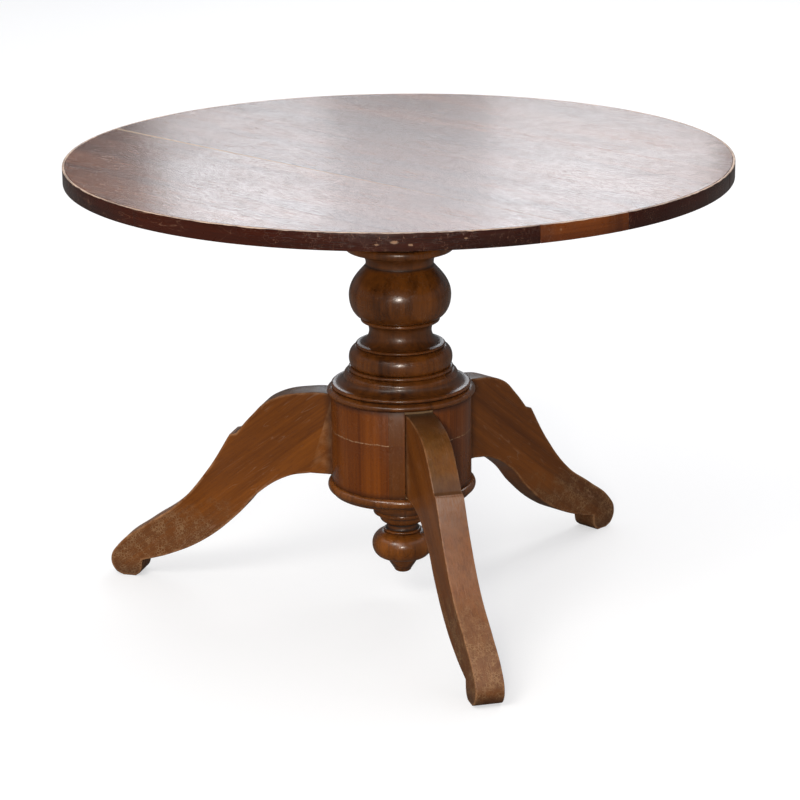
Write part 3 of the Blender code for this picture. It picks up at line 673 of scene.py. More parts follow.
# %% Lipping: finish
def along_rim(piece):
    """Stores (distance round, height, distance out) on every point, unbroken across the piece.
    The distance round is the one at the top's rim, whatever the piece's own radius is."""
    places = points_of(piece)
    angles = np.arctan2(places[:, 1], places[:, 0])
    middle = math.atan2(places[:, 1].mean(), places[:, 0].mean())
    angles = middle + (angles - middle + math.pi) % (2 * math.pi) - math.pi
    out = np.hypot(places[:, 0], places[:, 1])
    write_attribute(piece, "round_place", np.stack([angles * RIM, places[:, 2], out], 1), "FLOAT_VECTOR")


# Each dent has its angle round the rim, its height above DINGS_LEVEL, and its size.
DINGS = ((314.5, 0.0085, 0.0032), (317.0, 0.0045, 0.0022), (311.8, 0.0050, 0.0018), (325.5, 0.0115, 0.0016))
DINGS_LEVEL = TOP - 0.0220
DING_LENGTH = 0.45


def make_lipping_finish(name, dark, light, dings):
    material, tree, here = new_finish(name)
    place = attribute(tree, "round_place", "Vector")
    height_up = split(tree, place)["Y"]
    grain = place_group(tree, walnut_grain, Place=place, Figure=15.0, Fibre=230.0, Contrast=1.1,
                        Dark=dark, Light=light)
    wear = place_group(tree, age_and_use, Place=here, Scale=1.4)
    colour = grain["Colour"]
    rubbed = drawn_out(tree, place, (55.0, 160.0, 160.0), 3.0)
    reach = ramp(tree, rubbed, 0.35, 0.65, 0.0, 0.0009)
    bare = maths(tree, "GREATER_THAN", plus(tree, height_up, reach), TOP - 0.0002)
    low_rub = maths(tree, "LESS_THAN", less(tree, height_up, reach), UNDERSIDE + 0.0001)
    bare = times(tree, bare, ramp(tree, rubbed, 0.30, 0.50, 0.45, 1.0))
    colour = mix(tree, bare, colour, (0.50, 0.36, 0.27, 1))
    colour = tint(tree, colour, low_rub, 0.6, (0.17, 0.085, 0.05, 1))
    run_down = ramp(tree, drawn_out(tree, place, (14.0, 2.0, 2.0), 4.0), 0.44, 0.64)
    colour = tint(tree, colour, run_down, 0.55, (0.030, 0.009, 0.006, 1))
    dent = None
    for angle, height, size in dings:
        centre = (math.radians(angle - 360) * RIM * DING_LENGTH, DINGS_LEVEL + height, RIM)
        away = tree.nodes.new("ShaderNodeVectorMath")
        away.operation = "DISTANCE"
        join(tree, stretched(tree, place, (DING_LENGTH, 1.0, 1.0)), away.inputs[0])
        away.inputs[1].default_value = centre
        ragged = maths(tree, "MULTIPLY_ADD", noise(tree, place, 600.0, 2.0), size, away.outputs["Value"])
        chip = ramp(tree, ragged, size, size * 1.35, 1.0, 0.0)
        dent = chip if dent is None else maths(tree, "MAXIMUM", dent, chip)
    dent = wear["Dents"] if dent is None else maths(tree, "MAXIMUM", dent, wear["Dents"])
    colour = tint(tree, colour, dent, 0.75, (0.36, 0.20, 0.11, 1))
    colour = tint(tree, colour, wear["Scratches"], 0.5, (0.30, 0.16, 0.10, 1))
    height = total(tree, (grain["Height"], 0.5), (dent, -1.6), (wear["Scratches"], -0.4), (rubbed, 0.4))
    roughness = total(tree, (wear["Dull"], 0.16), (bare, 0.25), (dent, 0.3),
                      (grain["Pores"], 0.1), base=0.20)
    finish_wood(tree, colour, roughness, height, coat=0.18, coat_rough=0.16, shine=0.36)
    return material


lipping_polish = make_lipping_finish("lipping_polish", (0.009, 0.0016, 0.0008, 1),
                                     (0.060, 0.0100, 0.0030, 1), DINGS)
patch_polish = make_lipping_finish("patch_polish", (0.080, 0.017, 0.004, 1), (0.250, 0.066, 0.011, 1), ())
print("lipping finishes:", lipping_polish.name, patch_polish.name)

# %% [markdown]
# ## The lipping
# A strip that is bent round the rim has one section all the way. The section starts as a flat square,
# is stretched to the strip's thickness and height, and is spun through the strip's own angle, which
# sweeps it into a solid. The angles come from the frame's own strips. The arrises are then rounded by
# a bevel of one width all round, the top one too, which hands have rubbed.

# %% Lipping
LIPPING_ARRIS = 0.0011
SWEEP_STEP = 1.0


def angles_of(node):
    """The first and last angle of a curved node in degrees, measured from its own middle outwards."""
    places = points_of(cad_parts[node])
    middle = math.degrees(math.atan2(places[:, 1].mean(), places[:, 0].mean()))
    angles = np.degrees(np.arctan2(places[:, 1], places[:, 0]))
    off = (angles - middle + 180) % 360 - 180
    return middle + off.min(), middle + off.max()


def spin_section(name, inner, outer, low, high, first, last):
    """A solid swept round the Z axis from a rectangle, between two angles in degrees.
    Spin turns clockwise for a positive angle, so the sweep is given backwards."""
    deselect_all()
    bpy.ops.mesh.primitive_plane_add(size=1.0, rotation=(math.pi / 2, 0, 0))
    piece = bpy.context.object
    piece.name = name
    piece.scale = (outer - inner, high - low, 1.0)
    piece.location = ((outer + inner) / 2, 0, (high + low) / 2)
    put_in_mesh(piece)
    piece.rotation_euler = (0, 0, math.radians(first))
    put_in_mesh(piece)
    start_edit(piece)
    bpy.ops.mesh.select_all(action="SELECT")
    steps = max(2, round((last - first) / SWEEP_STEP))
    bpy.ops.mesh.spin(steps=steps, angle=math.radians(first - last), center=(0, 0, 0), axis=(0, 0, 1))
    bpy.ops.object.mode_set(mode="OBJECT")
    close_up(piece)
    return piece


def make_lipping(node):
    low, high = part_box(node)
    first, last = angles_of(node)
    strip = spin_section(node.replace("lipping", "lipping_strip"), PLANKS_REACH + SEAM_GAP, RIM,
                         low.z, high.z, first, last)
    apply_modifier(strip, "BEVEL", width=LIPPING_ARRIS, segments=4, angle_limit=math.radians(60))
    smooth(strip, 40)
    along_rim(strip)
    if node == "lipping_patch":
        settle(strip, patch_polish, "top", node)
    else:
        settle(strip, lipping_polish, "top", node)


for node in sorted(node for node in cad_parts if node.startswith("lipping")):
    make_lipping(node)

# %% [markdown]
# ## The turned pieces' finish
# A turner's mouldings hold polish and dirt in their grooves and lose both on their high places. So
# every point of a turned piece stores how hollow or how proud it is, read from the profile itself, and
# the finish is near black in the hollows and warmer on the beads. The grain runs up the piece, because
# it was turned between centres from an upright billet.

# %% Turned pieces: finish
def make_turned_finish(name, dark, light):
    material, tree, here = new_finish(name)
    upright = stretched(tree, here, (1, 1, 1), turn=(0, 90, 0))
    grain = place_group(tree, walnut_grain, Place=upright, Figure=13.0, Fibre=210.0, Contrast=1.2,
                        Dark=dark, Light=light)
    wear = place_group(tree, age_and_use, Place=here, Scale=1.6)
    hollow = attribute(tree, "hollow")
    dirt = ramp(tree, plus(tree, hollow, times(tree, wear["Dull"], 0.12)), 0.10, 0.75)
    proud = ramp(tree, hollow, -0.12, -0.80)
    rubbed = times(tree, proud, ramp(tree, wear["Dull"], 0.0, 1.0, 0.25, 0.7))
    colour = mix(tree, times(tree, rubbed, 0.55), grain["Colour"], (0.20, 0.066, 0.017, 1))
    colour = tint(tree, colour, dirt, 0.93, (0.010, 0.0045, 0.003, 1))
    colour = tint(tree, colour, wear["Scratches"], 0.45, (0.24, 0.12, 0.06, 1))
    turned = drawn_out(tree, here, (1.5, 1.5, 380.0), 2.0)
    height = total(tree, (grain["Height"], 0.45), (turned, 0.25), (wear["Scratches"], -0.4),
                   (wear["Dents"], -0.8))
    roughness = total(tree, (wear["Dull"], 0.16), (dirt, 0.30), (wear["Scratches"], 0.15),
                      (grain["Pores"], 0.08), base=0.24)
    finish_wood(tree, colour, roughness, height, distance=0.0003, coat=0.22, coat_rough=0.18)
    return material


turned_polish = make_turned_finish("turned_polish", (0.030, 0.0075, 0.0015, 1), (0.280, 0.086, 0.0120, 1))
print("turned finish:", turned_polish.name)

# %% [markdown]
# ## Profiles
# A turner thinks of a profile as a row of simple shapes, each of them so high and reaching to such a
# radius: a line, a quarter round that swells or sweeps, a bead, an ogee. The same words describe it
# here, from the top down. The curves are worked out finely, and the sharp corners between them are
# eased by a fraction of a millimetre, because no polished corner is sharp.

# %% Profile helpers
QUARTER_STEPS = 9
OGEE_BIAS = 0.60
EASE = 0.0005
EASED_ANGLE = 22
HOLLOW_STEP = 0.0004
HOLLOW_WINDOW = 0.005
HOLLOW_FULL = 0.0011


def quarter(start, end, leaves_level):
    """Points of a quarter ellipse from start to end, without its start."""
    points = []
    for step in range(1, QUARTER_STEPS + 1):
        angle = math.pi / 2 * step / QUARTER_STEPS
        first, second = math.sin(angle), 1 - math.cos(angle)
        across, down = (first, second) if leaves_level else (second, first)
        points.append((start[0] + (end[0] - start[0]) * across, start[1] + (end[1] - start[1]) * down))
    return points


def ogee(start, end):
    """Points of an S that is upright at both ends and fuller at the lower one."""
    points = []
    for step in range(1, 3 * QUARTER_STEPS + 1):
        share = step / (3 * QUARTER_STEPS)
        across = (1 - math.cos(math.pi * share**OGEE_BIAS)) / 2
        points.append((start[0] + (end[0] - start[0]) * across, start[1] + (end[1] - start[1]) * share))
    return points


def profile_of(shapes, radius, top, bottom):
    """The outer profile from top to bottom, its heights stretched to fill that length."""
    stretch = (top - bottom) / sum(height for _, _, height in shapes)
    points = [(radius, top)]
    for shape, reached, height in shapes:
        start = points[-1]
        end = (reached, start[1] - height * stretch)
        if shape == "line":
            points.append(end)
        elif shape == "ogee":
            points += ogee(start, end)
        elif shape == "bead":
            middle = (reached, (start[1] + end[1]) / 2)
            points += quarter(start, middle, True) + quarter(middle, (start[0], end[1]), False)
        else:
            points += quarter(start, end, shape == "swell")
    return points


def eased(points, amount=EASE):
    """The same profile with each sharp corner replaced by a small curve."""
    points = [p for i, p in enumerate(points) if i == 0 or math.dist(p, points[i - 1]) > 1e-5]
    made = [points[0]]
    for before, here, after in zip(points, points[1:], points[2:]):
        entering = Vector(here) - Vector(before)
        leaving = Vector(after) - Vector(here)
        if entering.angle(leaving) < math.radians(EASED_ANGLE):
            made.append(here)
            continue
        first = Vector(here) - entering.normalized() * min(amount, 0.4 * entering.length)
        last = Vector(here) + leaving.normalized() * min(amount, 0.4 * leaving.length)
        made.append(tuple(first))
        for share in (0.33, 0.67):
            rest = 1 - share
            made.append(tuple(first * rest**2 + Vector(here) * 2 * share * rest + last * share**2))
        made.append(tuple(last))
    return made + [points[-1]]


def hollowness(points):
    """For each point of a profile, how far it lies inside (+) or outside (-) of its surroundings."""
    line = np.array(points)
    steps = np.hypot(*np.diff(line, axis=0).T)
    run = np.concatenate([[0], np.cumsum(steps)])
    even = np.arange(0, run[-1], HOLLOW_STEP)
    r, z = np.interp(even, run, line[:, 0]), np.interp(even, run, line[:, 1])
    wide = max(3, round(HOLLOW_WINDOW / HOLLOW_STEP))
    kernel = np.ones(2 * wide + 1) / (2 * wide + 1)
    mean_r = np.convolve(np.pad(r, wide, mode="edge"), kernel, mode="valid")
    mean_z = np.convolve(np.pad(z, wide, mode="edge"), kernel, mode="valid")
    along = np.gradient(r), np.gradient(z)
    size = np.hypot(*along) + 1e-9
    out_r, out_z = -along[1] / size, along[0] / size
    deep = ((mean_r - r) * out_r + (mean_z - z) * out_z) / HOLLOW_FULL
    return np.interp(run, even, np.clip(deep, -1.5, 1.5))


print("a bead has", len(profile_of([("bead", 1.01, 0.02)], 1.0, 0.02, 0.0)), "points")

# %% [markdown]
# ## Turning by spin
# A plane is merged to a single point, the point is drawn down the profile by extruding it, and the
# line that results is spun a full turn round the Z axis. Welding the doubled seam closes the piece,
# and its faces are then turned outwards. It's the nearest thing in Blender to a lathe.

# %% Spin helper
SPIN_STEPS = 112
TURNED_SMOOTH = 50


def turn(name, profile, steps=SPIN_STEPS, closed=False):
    """A turned solid from a profile, with the profile's hollowness stored on its points."""
    deselect_all()
    bpy.ops.mesh.primitive_plane_add(size=0.001)
    piece = bpy.context.object
    piece.name = name
    start_edit(piece)
    bpy.ops.mesh.select_all(action="SELECT")
    bpy.ops.mesh.merge(type="CENTER")
    bpy.ops.mesh.select_mode(type="VERT")
    bpy.ops.mesh.select_all(action="SELECT")
    bpy.ops.transform.translate(value=(profile[0][0], 0, profile[0][1]))
    drawn = [*profile, profile[0]] if closed else profile
    for before, after in zip(drawn, drawn[1:]):
        move = (after[0] - before[0], 0, after[1] - before[1])
        bpy.ops.mesh.extrude_region_move(TRANSFORM_OT_translate={"value": move})
    bpy.ops.mesh.select_all(action="SELECT")
    bpy.ops.mesh.spin(steps=steps, angle=2 * math.pi, center=(0, 0, 0), axis=(0, 0, 1))
    bpy.ops.object.mode_set(mode="OBJECT")
    close_up(piece)
    smooth(piece, TURNED_SMOOTH)
    places = points_of(piece)
    around = np.stack([np.hypot(places[:, 0], places[:, 1]), places[:, 2]], 1)
    nearest = np.linalg.norm(around[:, None] - np.array(profile)[None], axis=2).argmin(1)
    write_attribute(piece, "hollow", hollowness(profile)[nearest])
    return piece


# %% [markdown]
# ## The column
# The baluster is one turning: the disc that carries the block, a neck, the big bulb, a waist with a
# bead, and the bell that stands on the ring. Its tenon goes up through the block and its spigot goes
# down through the two rings into the drum, so those are part of the profile too, with the slot that
# takes the tenon's wedge cut by a Boolean.

# %% Column
BALUSTER = [
    ("line", 0.0600, 0.0370), ("line", 0.0840, 0.0), ("bead", 0.0880, 0.0130),
    ("swell", 0.0548, 0.0205), ("line", 0.0548, 0.0040), ("ogee", 0.0825, 0.0510),
    ("sweep", 0.0580, 0.0370), ("line", 0.0610, 0.0), ("bead", 0.0640, 0.0060),
    ("swell", 0.0506, 0.0150), ("sweep", 0.0690, 0.0205),
]
print("the column has", len(BALUSTER), "shapes")
TENON_RADIUS = 0.022
SPIGOT_RADIUS = 0.025
WEDGE_PLAY = 0.0003
BEYOND = 0.01

column_low, column_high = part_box("baluster")
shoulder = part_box("pivot_block")[0].z - SEAM_GAP
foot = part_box("torus_ring")[1].z + SEAM_GAP
column_profile = [(0.0, column_high.z), (TENON_RADIUS, column_high.z), (TENON_RADIUS, shoulder)]
column_profile += profile_of(BALUSTER, BALUSTER[0][1], shoulder, foot)
column_profile += [(SPIGOT_RADIUS, foot), (SPIGOT_RADIUS, column_low.z), (0.0, column_low.z)]
column = turn("turned_column", eased(column_profile))


def cut_box(piece, low, high):
    """A box-shaped cut from one corner to another."""
    deselect_all()
    bpy.ops.mesh.primitive_cube_add(size=1.0, location=(Vector(low) + Vector(high)) / 2)
    cutter = bpy.context.object
    cutter.scale = Vector(high) - Vector(low)
    put_in_mesh(cutter)
    apply_modifier(piece, "BOOLEAN", operation="DIFFERENCE", object=cutter, solver="EXACT")
    bpy.data.objects.remove(cutter, do_unlink=True)


wedge_low, wedge_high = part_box("tenon_wedge")
cut_box(column, (-TENON_RADIUS - BEYOND, wedge_low.y - WEDGE_PLAY, wedge_low.z - WEDGE_PLAY),
        (TENON_RADIUS + BEYOND, wedge_high.y + WEDGE_PLAY, column_high.z + BEYOND))
smooth(column, TURNED_SMOOTH)
settle(column, turned_polish, "pedestal", "baluster")

# %% [markdown]
# ## The rings
# Two loose rings slide on the column's spigot: a torus, and the wide moulding that covers the top of
# the drum. A third closes the drum from below. Each is a closed profile with a bore, so the same lathe
# makes them, and only their shapes and places differ.

# %% Rings
DRUM_RADIUS = 0.114
FINIAL_DOWEL_RADIUS = 0.015
TORUS = [
    ("bead", 0.0725, 0.0050), ("line", 0.0705, 0.0005), ("swell", 0.0840, 0.0185), ("sweep", 0.0780, 0.0140),
]
MOULDING = [
    ("bead", DRUM_RADIUS - 0.0290, 0.0060), ("swell", DRUM_RADIUS - 0.0215, 0.0085),
    ("sweep", DRUM_RADIUS - 0.0045, 0.0130), ("bead", DRUM_RADIUS - 0.0005, 0.0065),
    ("line", DRUM_RADIUS - 0.0030, 0.0008), ("bead", DRUM_RADIUS + 0.0065, 0.0127),
]
FOOT_RING = [
    ("bead", DRUM_RADIUS + 0.0070, 0.0150), ("line", DRUM_RADIUS + 0.0010, 0.0005),
    ("line", DRUM_RADIUS - 0.0010, 0.0040),
]


def make_ring(name, node, shapes, radius, bore):
    low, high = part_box(node)
    outline = eased([*profile_of(shapes, radius, high.z, low.z), (bore, low.z), (bore, high.z)])
    settle(turn(name, outline, closed=True), turned_polish, "pedestal", node)


make_ring("torus_moulding", "torus_ring", TORUS, 0.0690, SPIGOT_RADIUS + SEAM_GAP)
make_ring("drum_cap_moulding", "base_moulding", MOULDING, DRUM_RADIUS - 0.0320, SPIGOT_RADIUS + SEAM_GAP)
make_ring("drum_foot_moulding", "drum_foot_ring", FOOT_RING, DRUM_RADIUS + 0.0010,
          FINIAL_DOWEL_RADIUS + SEAM_GAP)

# %% [markdown]
# ## The drop
# The turned drop hangs under the drum on a dowel. It has a collar, two thin fillets, a bulb and a
# blunt cone at its tip.

# %% Drop finial
FINIAL = [
    ("swell", 0.0460, 0.0240), ("line", 0.0460, 0.0080), ("bead", 0.0475, 0.0060), ("line", 0.0370, 0.0010),
    ("line", 0.0370, 0.0065), ("sweep", 0.0256, 0.0085), ("line", 0.0256, 0.0050), ("sweep", 0.0290, 0.0060),
    ("bead", 0.0310, 0.0042), ("swell", 0.0500, 0.0220), ("sweep", 0.0330, 0.0225), ("swell", 0.0260, 0.0040),
    ("line", 0.0140, 0.0183), ("sweep", 0.0040, 0.0050),
]

drop_low, drop_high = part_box("drop_finial")
drop_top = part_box("drum_foot_ring")[0].z - SEAM_GAP
drop_profile = [(0.0, drop_high.z), (FINIAL_DOWEL_RADIUS, drop_high.z), (FINIAL_DOWEL_RADIUS, drop_top)]
drop_profile += profile_of(FINIAL, 0.0600, drop_top, drop_low.z)
drop_profile.append((0.0, drop_low.z))
drop = turn("turned_drop", eased(drop_profile), steps=96)
settle(drop, turned_polish, "pedestal", "drop_finial")

# %% [markdown]
# ## The drum's finish
# The drum is faced with thick veneer whose grain stands upright. Its glue has let go along a level
# line half way up, and the polish has cracked there into a pale ragged scratch. Where the veneer meets
# a leg, at one end of each sheet, a narrow strip was replaced with plainer wood. The pattern again
# needs coordinates that follow the curve, and the lipping's are used as they are: how far round, how
# high and how far out. Round the drum the first is larger than the real distance, which makes the
# grain finer.

# %% Drum: finish
drum_low, drum_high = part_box("drum_veneer_1")
CRACK = drum_low.z + 0.615 * (drum_high.z - drum_low.z)
STRIP_WIDTH = math.radians(13.0) * DRUM_RADIUS


def make_drum_finish():
    material, tree, here = new_finish("drum_polish")
    place = attribute(tree, "round_place", "Vector")
    height_up = split(tree, place)["Y"]
    upright = stretched(tree, place, (1, 1, 1), turn=(0, 0, 90))
    grain = place_group(tree, walnut_grain, Place=upright, Figure=11.0, Fibre=190.0, Contrast=0.9,
                        Dark=(0.075, 0.014, 0.0015, 1), Light=(0.300, 0.080, 0.0080, 1))
    wear = place_group(tree, age_and_use, Place=here, Scale=1.5)
    colour = grain["Colour"]
    to_end = attribute(tree, "to_end")
    strip = maths(tree, "LESS_THAN", to_end, STRIP_WIDTH)
    colour = tint(tree, colour, strip, 0.45, (0.110, 0.048, 0.014, 1))
    edge = maths(tree, "ABSOLUTE", less(tree, to_end, STRIP_WIDTH))
    colour = mix(tree, ramp(tree, edge, 0.0002, 0.0006, 0.55, 0.0), colour, (0.03, 0.010, 0.006, 1))
    wander = drawn_out(tree, place, (9.0, 0.0, 0.0), 5.0, 0.6)
    level_line = plus(tree, height_up, maths(tree, "MULTIPLY_ADD", wander, 0.008, -0.004))
    off = maths(tree, "ABSOLUTE", less(tree, level_line, CRACK))
    broken = ramp(tree, drawn_out(tree, place, (70.0, 20.0, 20.0), 4.0, 0.7), 0.40, 0.54)
    crack = times(tree, ramp(tree, off, 0.0002, 0.0009, 1.0, 0.0), broken)
    crack = times(tree, crack, less(tree, 1.0, strip))
    below = ramp(tree, less(tree, level_line, CRACK), -0.045, 0.0)
    above = maths(tree, "LESS_THAN", level_line, CRACK)
    tone = times(tree, times(tree, below, above), 0.30)
    colour = mix(tree, tone, colour, (0.090, 0.019, 0.005, 1))
    colour = tint(tree, colour, crack, 0.85, (0.62, 0.40, 0.24, 1))
    colour = tint(tree, colour, wear["Scratches"], 0.35, (0.36, 0.19, 0.11, 1))
    to_top = less(tree, drum_high.z, height_up)
    shade = ramp(tree, maths(tree, "MINIMUM", to_top, less(tree, height_up, drum_low.z)),
                 0.001, 0.009, 0.65, 0.0)
    colour = mix(tree, shade, colour, (0.025, 0.009, 0.005, 1))
    height = total(tree, (grain["Height"], 0.55), (crack, -0.8), (wear["Scratches"], -0.4),
                   (drawn_out(tree, place, (30, 6, 6), 2.0), 1.2))
    roughness = total(tree, (wear["Dull"], 0.18), (crack, 0.4), (grain["Pores"], 0.08),
                      (shade, 0.2), base=0.24)
    finish_wood(tree, colour, roughness, height, distance=0.0003, coat=0.16, coat_rough=0.16, shine=0.40)
    return material


drum_polish = make_drum_finish()
print("the crack runs at z =", round(CRACK, 4))

# %% [markdown]
# ## The drum's veneers
# Three curved plates of veneer fill the spaces between the legs. They are swept like the lipping, with
# fine steps, and their arrises are only just broken. The distance to one end of each plate is stored
# as well, for the strip beside the leg.

# %% Drum veneers
VENEER = 0.0028
VENEER_ARRIS = 0.00025


def make_veneer(number):
    node = f"drum_veneer_{number}"
    low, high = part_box(node)
    first, last = angles_of(node)
    piece = spin_section(f"drum_facing_{number}", DRUM_RADIUS - VENEER, DRUM_RADIUS, low.z, high.z,
                         first, last)
    apply_modifier(piece, "BEVEL", width=VENEER_ARRIS, segments=2, angle_limit=math.radians(60))
    smooth(piece, 40)
    along_rim(piece)
    places = points_of(piece)
    angles = np.degrees(np.arctan2(places[:, 1], places[:, 0]))
    middle = (first + last) / 2
    off = (angles - middle + 180) % 360 - 180
    to_end = np.radians((last - first) / 2 - off) * DRUM_RADIUS
    write_attribute(piece, "to_end", to_end)
    settle(piece, drum_polish, "pedestal", node)


for number in (1, 2, 3):
    make_veneer(number)

# %% [markdown]
# ## The legs' finish
# A leg is sawn from a plank, so its grain runs straight through the curves, at a slant. Its flat sides
# are orange brown and quite well kept. Its upper faces carry a painted reflection of the pale sky,
# pinker beyond the ledge, and the low third is scuffed by shoes and brooms down to pale speckled wood.
# The arrises are rubbed pale. Painted shade darkens every face where it meets the drum. On the upper
# faces it reaches further out and also darkens them just before the ledge, and a painted highlight
# lightens them just past the ledge. Each leg's own coordinates (out from the axis, across, up) are
# stored on its points, so one finish serves all three.

# %% Legs: finish
LEG_THICKNESS = 0.0455
LEG_REACH = 0.3923
LEG_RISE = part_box("leg_back")[1].z
LEDGE = DRUM_RADIUS + 0.43 * LEG_REACH


def make_leg_finish():
    material, tree, _ = new_finish("leg_polish")
    place = attribute(tree, "leg_place", "Vector")
    seed = attribute(tree, "leg_seed")
    out, across, up = split(tree, place)
    slanted = stretched(tree, place, (1, 1, 1), turn=(0, -38, 0))
    shifted = tree.nodes.new("ShaderNodeVectorMath")
    join(tree, slanted, shifted.inputs[0])
    move = tree.nodes.new("ShaderNodeCombineXYZ")
    join(tree, seed, move.inputs["Y"])
    join(tree, seed, move.inputs["X"])
    join(tree, move.outputs[0], shifted.inputs[1])
    board = shifted.outputs[0]
    grain = place_group(tree, walnut_grain, Place=board, Figure=12.0, Fibre=180.0, Contrast=0.95,
                        Dark=(0.075, 0.018, 0.0020, 1), Light=(0.310, 0.092, 0.0090, 1))
    wear = place_group(tree, age_and_use, Place=board, Scale=1.3)
    side = attribute(tree, "flat_side")
    facing_up = attribute(tree, "facing_up")
    top_face = times(tree, less(tree, 1.0, side), facing_up)
    colour = grain["Colour"]
    # Painted reflection of the pale sky on the upper faces, browner inside the ledge and pinker beyond it.
    beyond = maths(tree, "GREATER_THAN", out, LEDGE)
    painted_sky_reflection = mix(tree, beyond, (0.125, 0.063, 0.018, 1), (0.215, 0.105, 0.062, 1))
    mottled = ramp(tree, noise(tree, place, 26.0, 5.0, 0.7), 0.30, 0.70, 0.30, 0.80)
    colour = mix(tree, times(tree, top_face, mottled), colour, painted_sky_reflection)
    fine = drawn_out(tree, place, (90.0, 420.0, 90.0), 4.0, 0.75)
    stained = times(tree, ramp(tree, fine, 0.48, 0.66, 0.0, 0.55), top_face)
    colour = mix(tree, stained, colour, (0.055, 0.022, 0.010, 1))
    down = ramp(tree, up, 0.175, 0.065)
    ragged = plus(tree, down, maths(tree, "MULTIPLY_ADD", noise(tree, place, 30.0, 4.0, 0.7), 0.8, -0.45))
    scuffed = times(tree, ramp(tree, ragged, 0.25, 0.75), ramp(tree, down, 0.0, 0.15))
    colour = tint(tree, colour, scuffed, 0.45, (0.085, 0.034, 0.012, 1))
    cells = tree.nodes.new("ShaderNodeTexVoronoi")
    cells.feature = "DISTANCE_TO_EDGE"
    cells.inputs["Scale"].default_value = 210.0
    join(tree, place, cells.inputs["Vector"])
    worn_lines = ramp(tree, cells.outputs["Distance"], 0.03, 0.16, 1.0, 0.0)
    kept = ramp(tree, noise(tree, place, 60.0, 3.0, 0.6), 0.44, 0.58)
    speckle = maths(tree, "MAXIMUM", times(tree, worn_lines, kept), wear["Speckle"])
    speckle = times(tree, speckle, scuffed)
    colour = tint(tree, colour, speckle, 0.60, (0.36, 0.210, 0.100, 1))
    near_floor = ramp(tree, up, 0.030, 0.004)
    colour = tint(tree, colour, near_floor, 0.6, (0.040, 0.018, 0.009, 1))
    to_side = less(tree, LEG_THICKNESS / 2, maths(tree, "ABSOLUTE", across))
    on_side = times(tree, attribute(tree, "arris"), side)
    on_top = times(tree, ramp(tree, to_side, 0.0006, 0.0034, 1.0, 0.0),
                   less(tree, 1.0, side))
    patchy = ramp(tree, noise(tree, place, 55.0, 4.0, 0.7), 0.38, 0.62)
    arris = times(tree, maths(tree, "MAXIMUM", on_side, on_top), patchy)
    colour = tint(tree, colour, arris, 0.75, (0.42, 0.210, 0.095, 1))
    colour = tint(tree, colour, wear["Scratches"], 0.40, (0.36, 0.20, 0.12, 1))
    # Painted shade: every face is darkened where the leg meets the drum.
    painted_shade_at_drum = ramp(tree, out, DRUM_RADIUS + 0.001, DRUM_RADIUS + 0.012, 0.6, 0.0)
    colour = mix(tree, painted_shade_at_drum, colour, (0.030, 0.011, 0.006, 1))
    # Painted shade on the upper faces: darker out from the drum, and just before the ledge.
    painted_shade_near_drum = ramp(tree, out, DRUM_RADIUS + 0.005, DRUM_RADIUS + 0.075, 0.75, 0.0)
    painted_shade_before_ledge = times(tree, ramp(tree, out, LEDGE - 0.028, LEDGE - 0.004, 0.0, 0.75),
                         less(tree, 1.0, beyond))
    painted_shade_on_top = times(tree, maths(tree, "MAXIMUM", painted_shade_near_drum, painted_shade_before_ledge), top_face)
    colour = mix(tree, painted_shade_on_top, colour, (0.052, 0.026, 0.017, 1))
    # Painted highlight: the upper face is lightened just past the ledge.
    rubbed = times(tree, ramp(tree, out, LEDGE + 0.001, LEDGE + 0.040, 0.60, 0.0), beyond)
    rubbed = times(tree, times(tree, rubbed, top_face), ramp(tree, fine, 0.35, 0.60))
    colour = mix(tree, rubbed, colour, (0.40, 0.285, 0.225, 1))
    height = total(tree, (grain["Height"], 0.6), (speckle, -0.5), (wear["Scratches"], -0.5),
                   (wear["Dents"], -1.2), (fine, 0.8), (noise(tree, place, 22.0, 2.0), 1.6))
    roughness = total(tree, (scuffed, 0.25), (speckle, 0.15), (wear["Dull"], 0.14),
                      (grain["Pores"], 0.08), base=0.30)
    finish_wood(tree, colour, roughness, height, distance=0.0005, strength=0.55, coat=0.12, coat_rough=0.22,
                shine=0.38)
    return material


leg_polish = make_leg_finish()
print("the ledge on a leg is", round(LEDGE, 3), "m from the axis")

# %% [markdown]
# ## The legs
# A leg is an outline with a thickness. The outline is a flat curve, whose points are shares of the
# leg's reach and rise: most of them are smooth, and the corners at the ledge and under the foot are
# sharp. The curve is filled, thickened and made a mesh. Then the triangles of its flat sides are
# dissolved into one face each, all arrises are rounded by a bevel, and a narrow inset keeps the flat
# sides truly flat in shading. The inset also gives each side a border, where the finish can rub the
# arrises pale.

# %% Legs
LEG_OUTLINE = [
    (0.092, 1.000, True), (0.268, 0.947, True), (0.347, 0.865, True), (0.417, 0.772, False),
    (0.446, 0.763, False), (0.548, 0.577, True), (0.691, 0.388, True), (0.834, 0.272, True),
    (0.964, 0.157, True), (1.000, 0.084, True), (0.980, 0.020, True), (0.946, 0.000, False),
    (0.890, 0.000, False), (0.867, 0.023, True), (0.858, 0.083, False), (0.734, 0.127, True),
    (0.572, 0.218, True), (0.417, 0.363, True), (0.319, 0.484, True), (0.188, 0.576, True),
    (0.092, 0.600, False),
]
CORE_RADIUS = DRUM_RADIUS - VENEER - SEAM_GAP
LEG_ARRIS = 0.0018
ARRIS_INSET = 0.0028
DOVETAIL_DEPTH = 0.036
DOVETAIL_NECK = 0.022
DOVETAIL_WIDTH = 0.030
DOVETAIL_DROP = 0.014


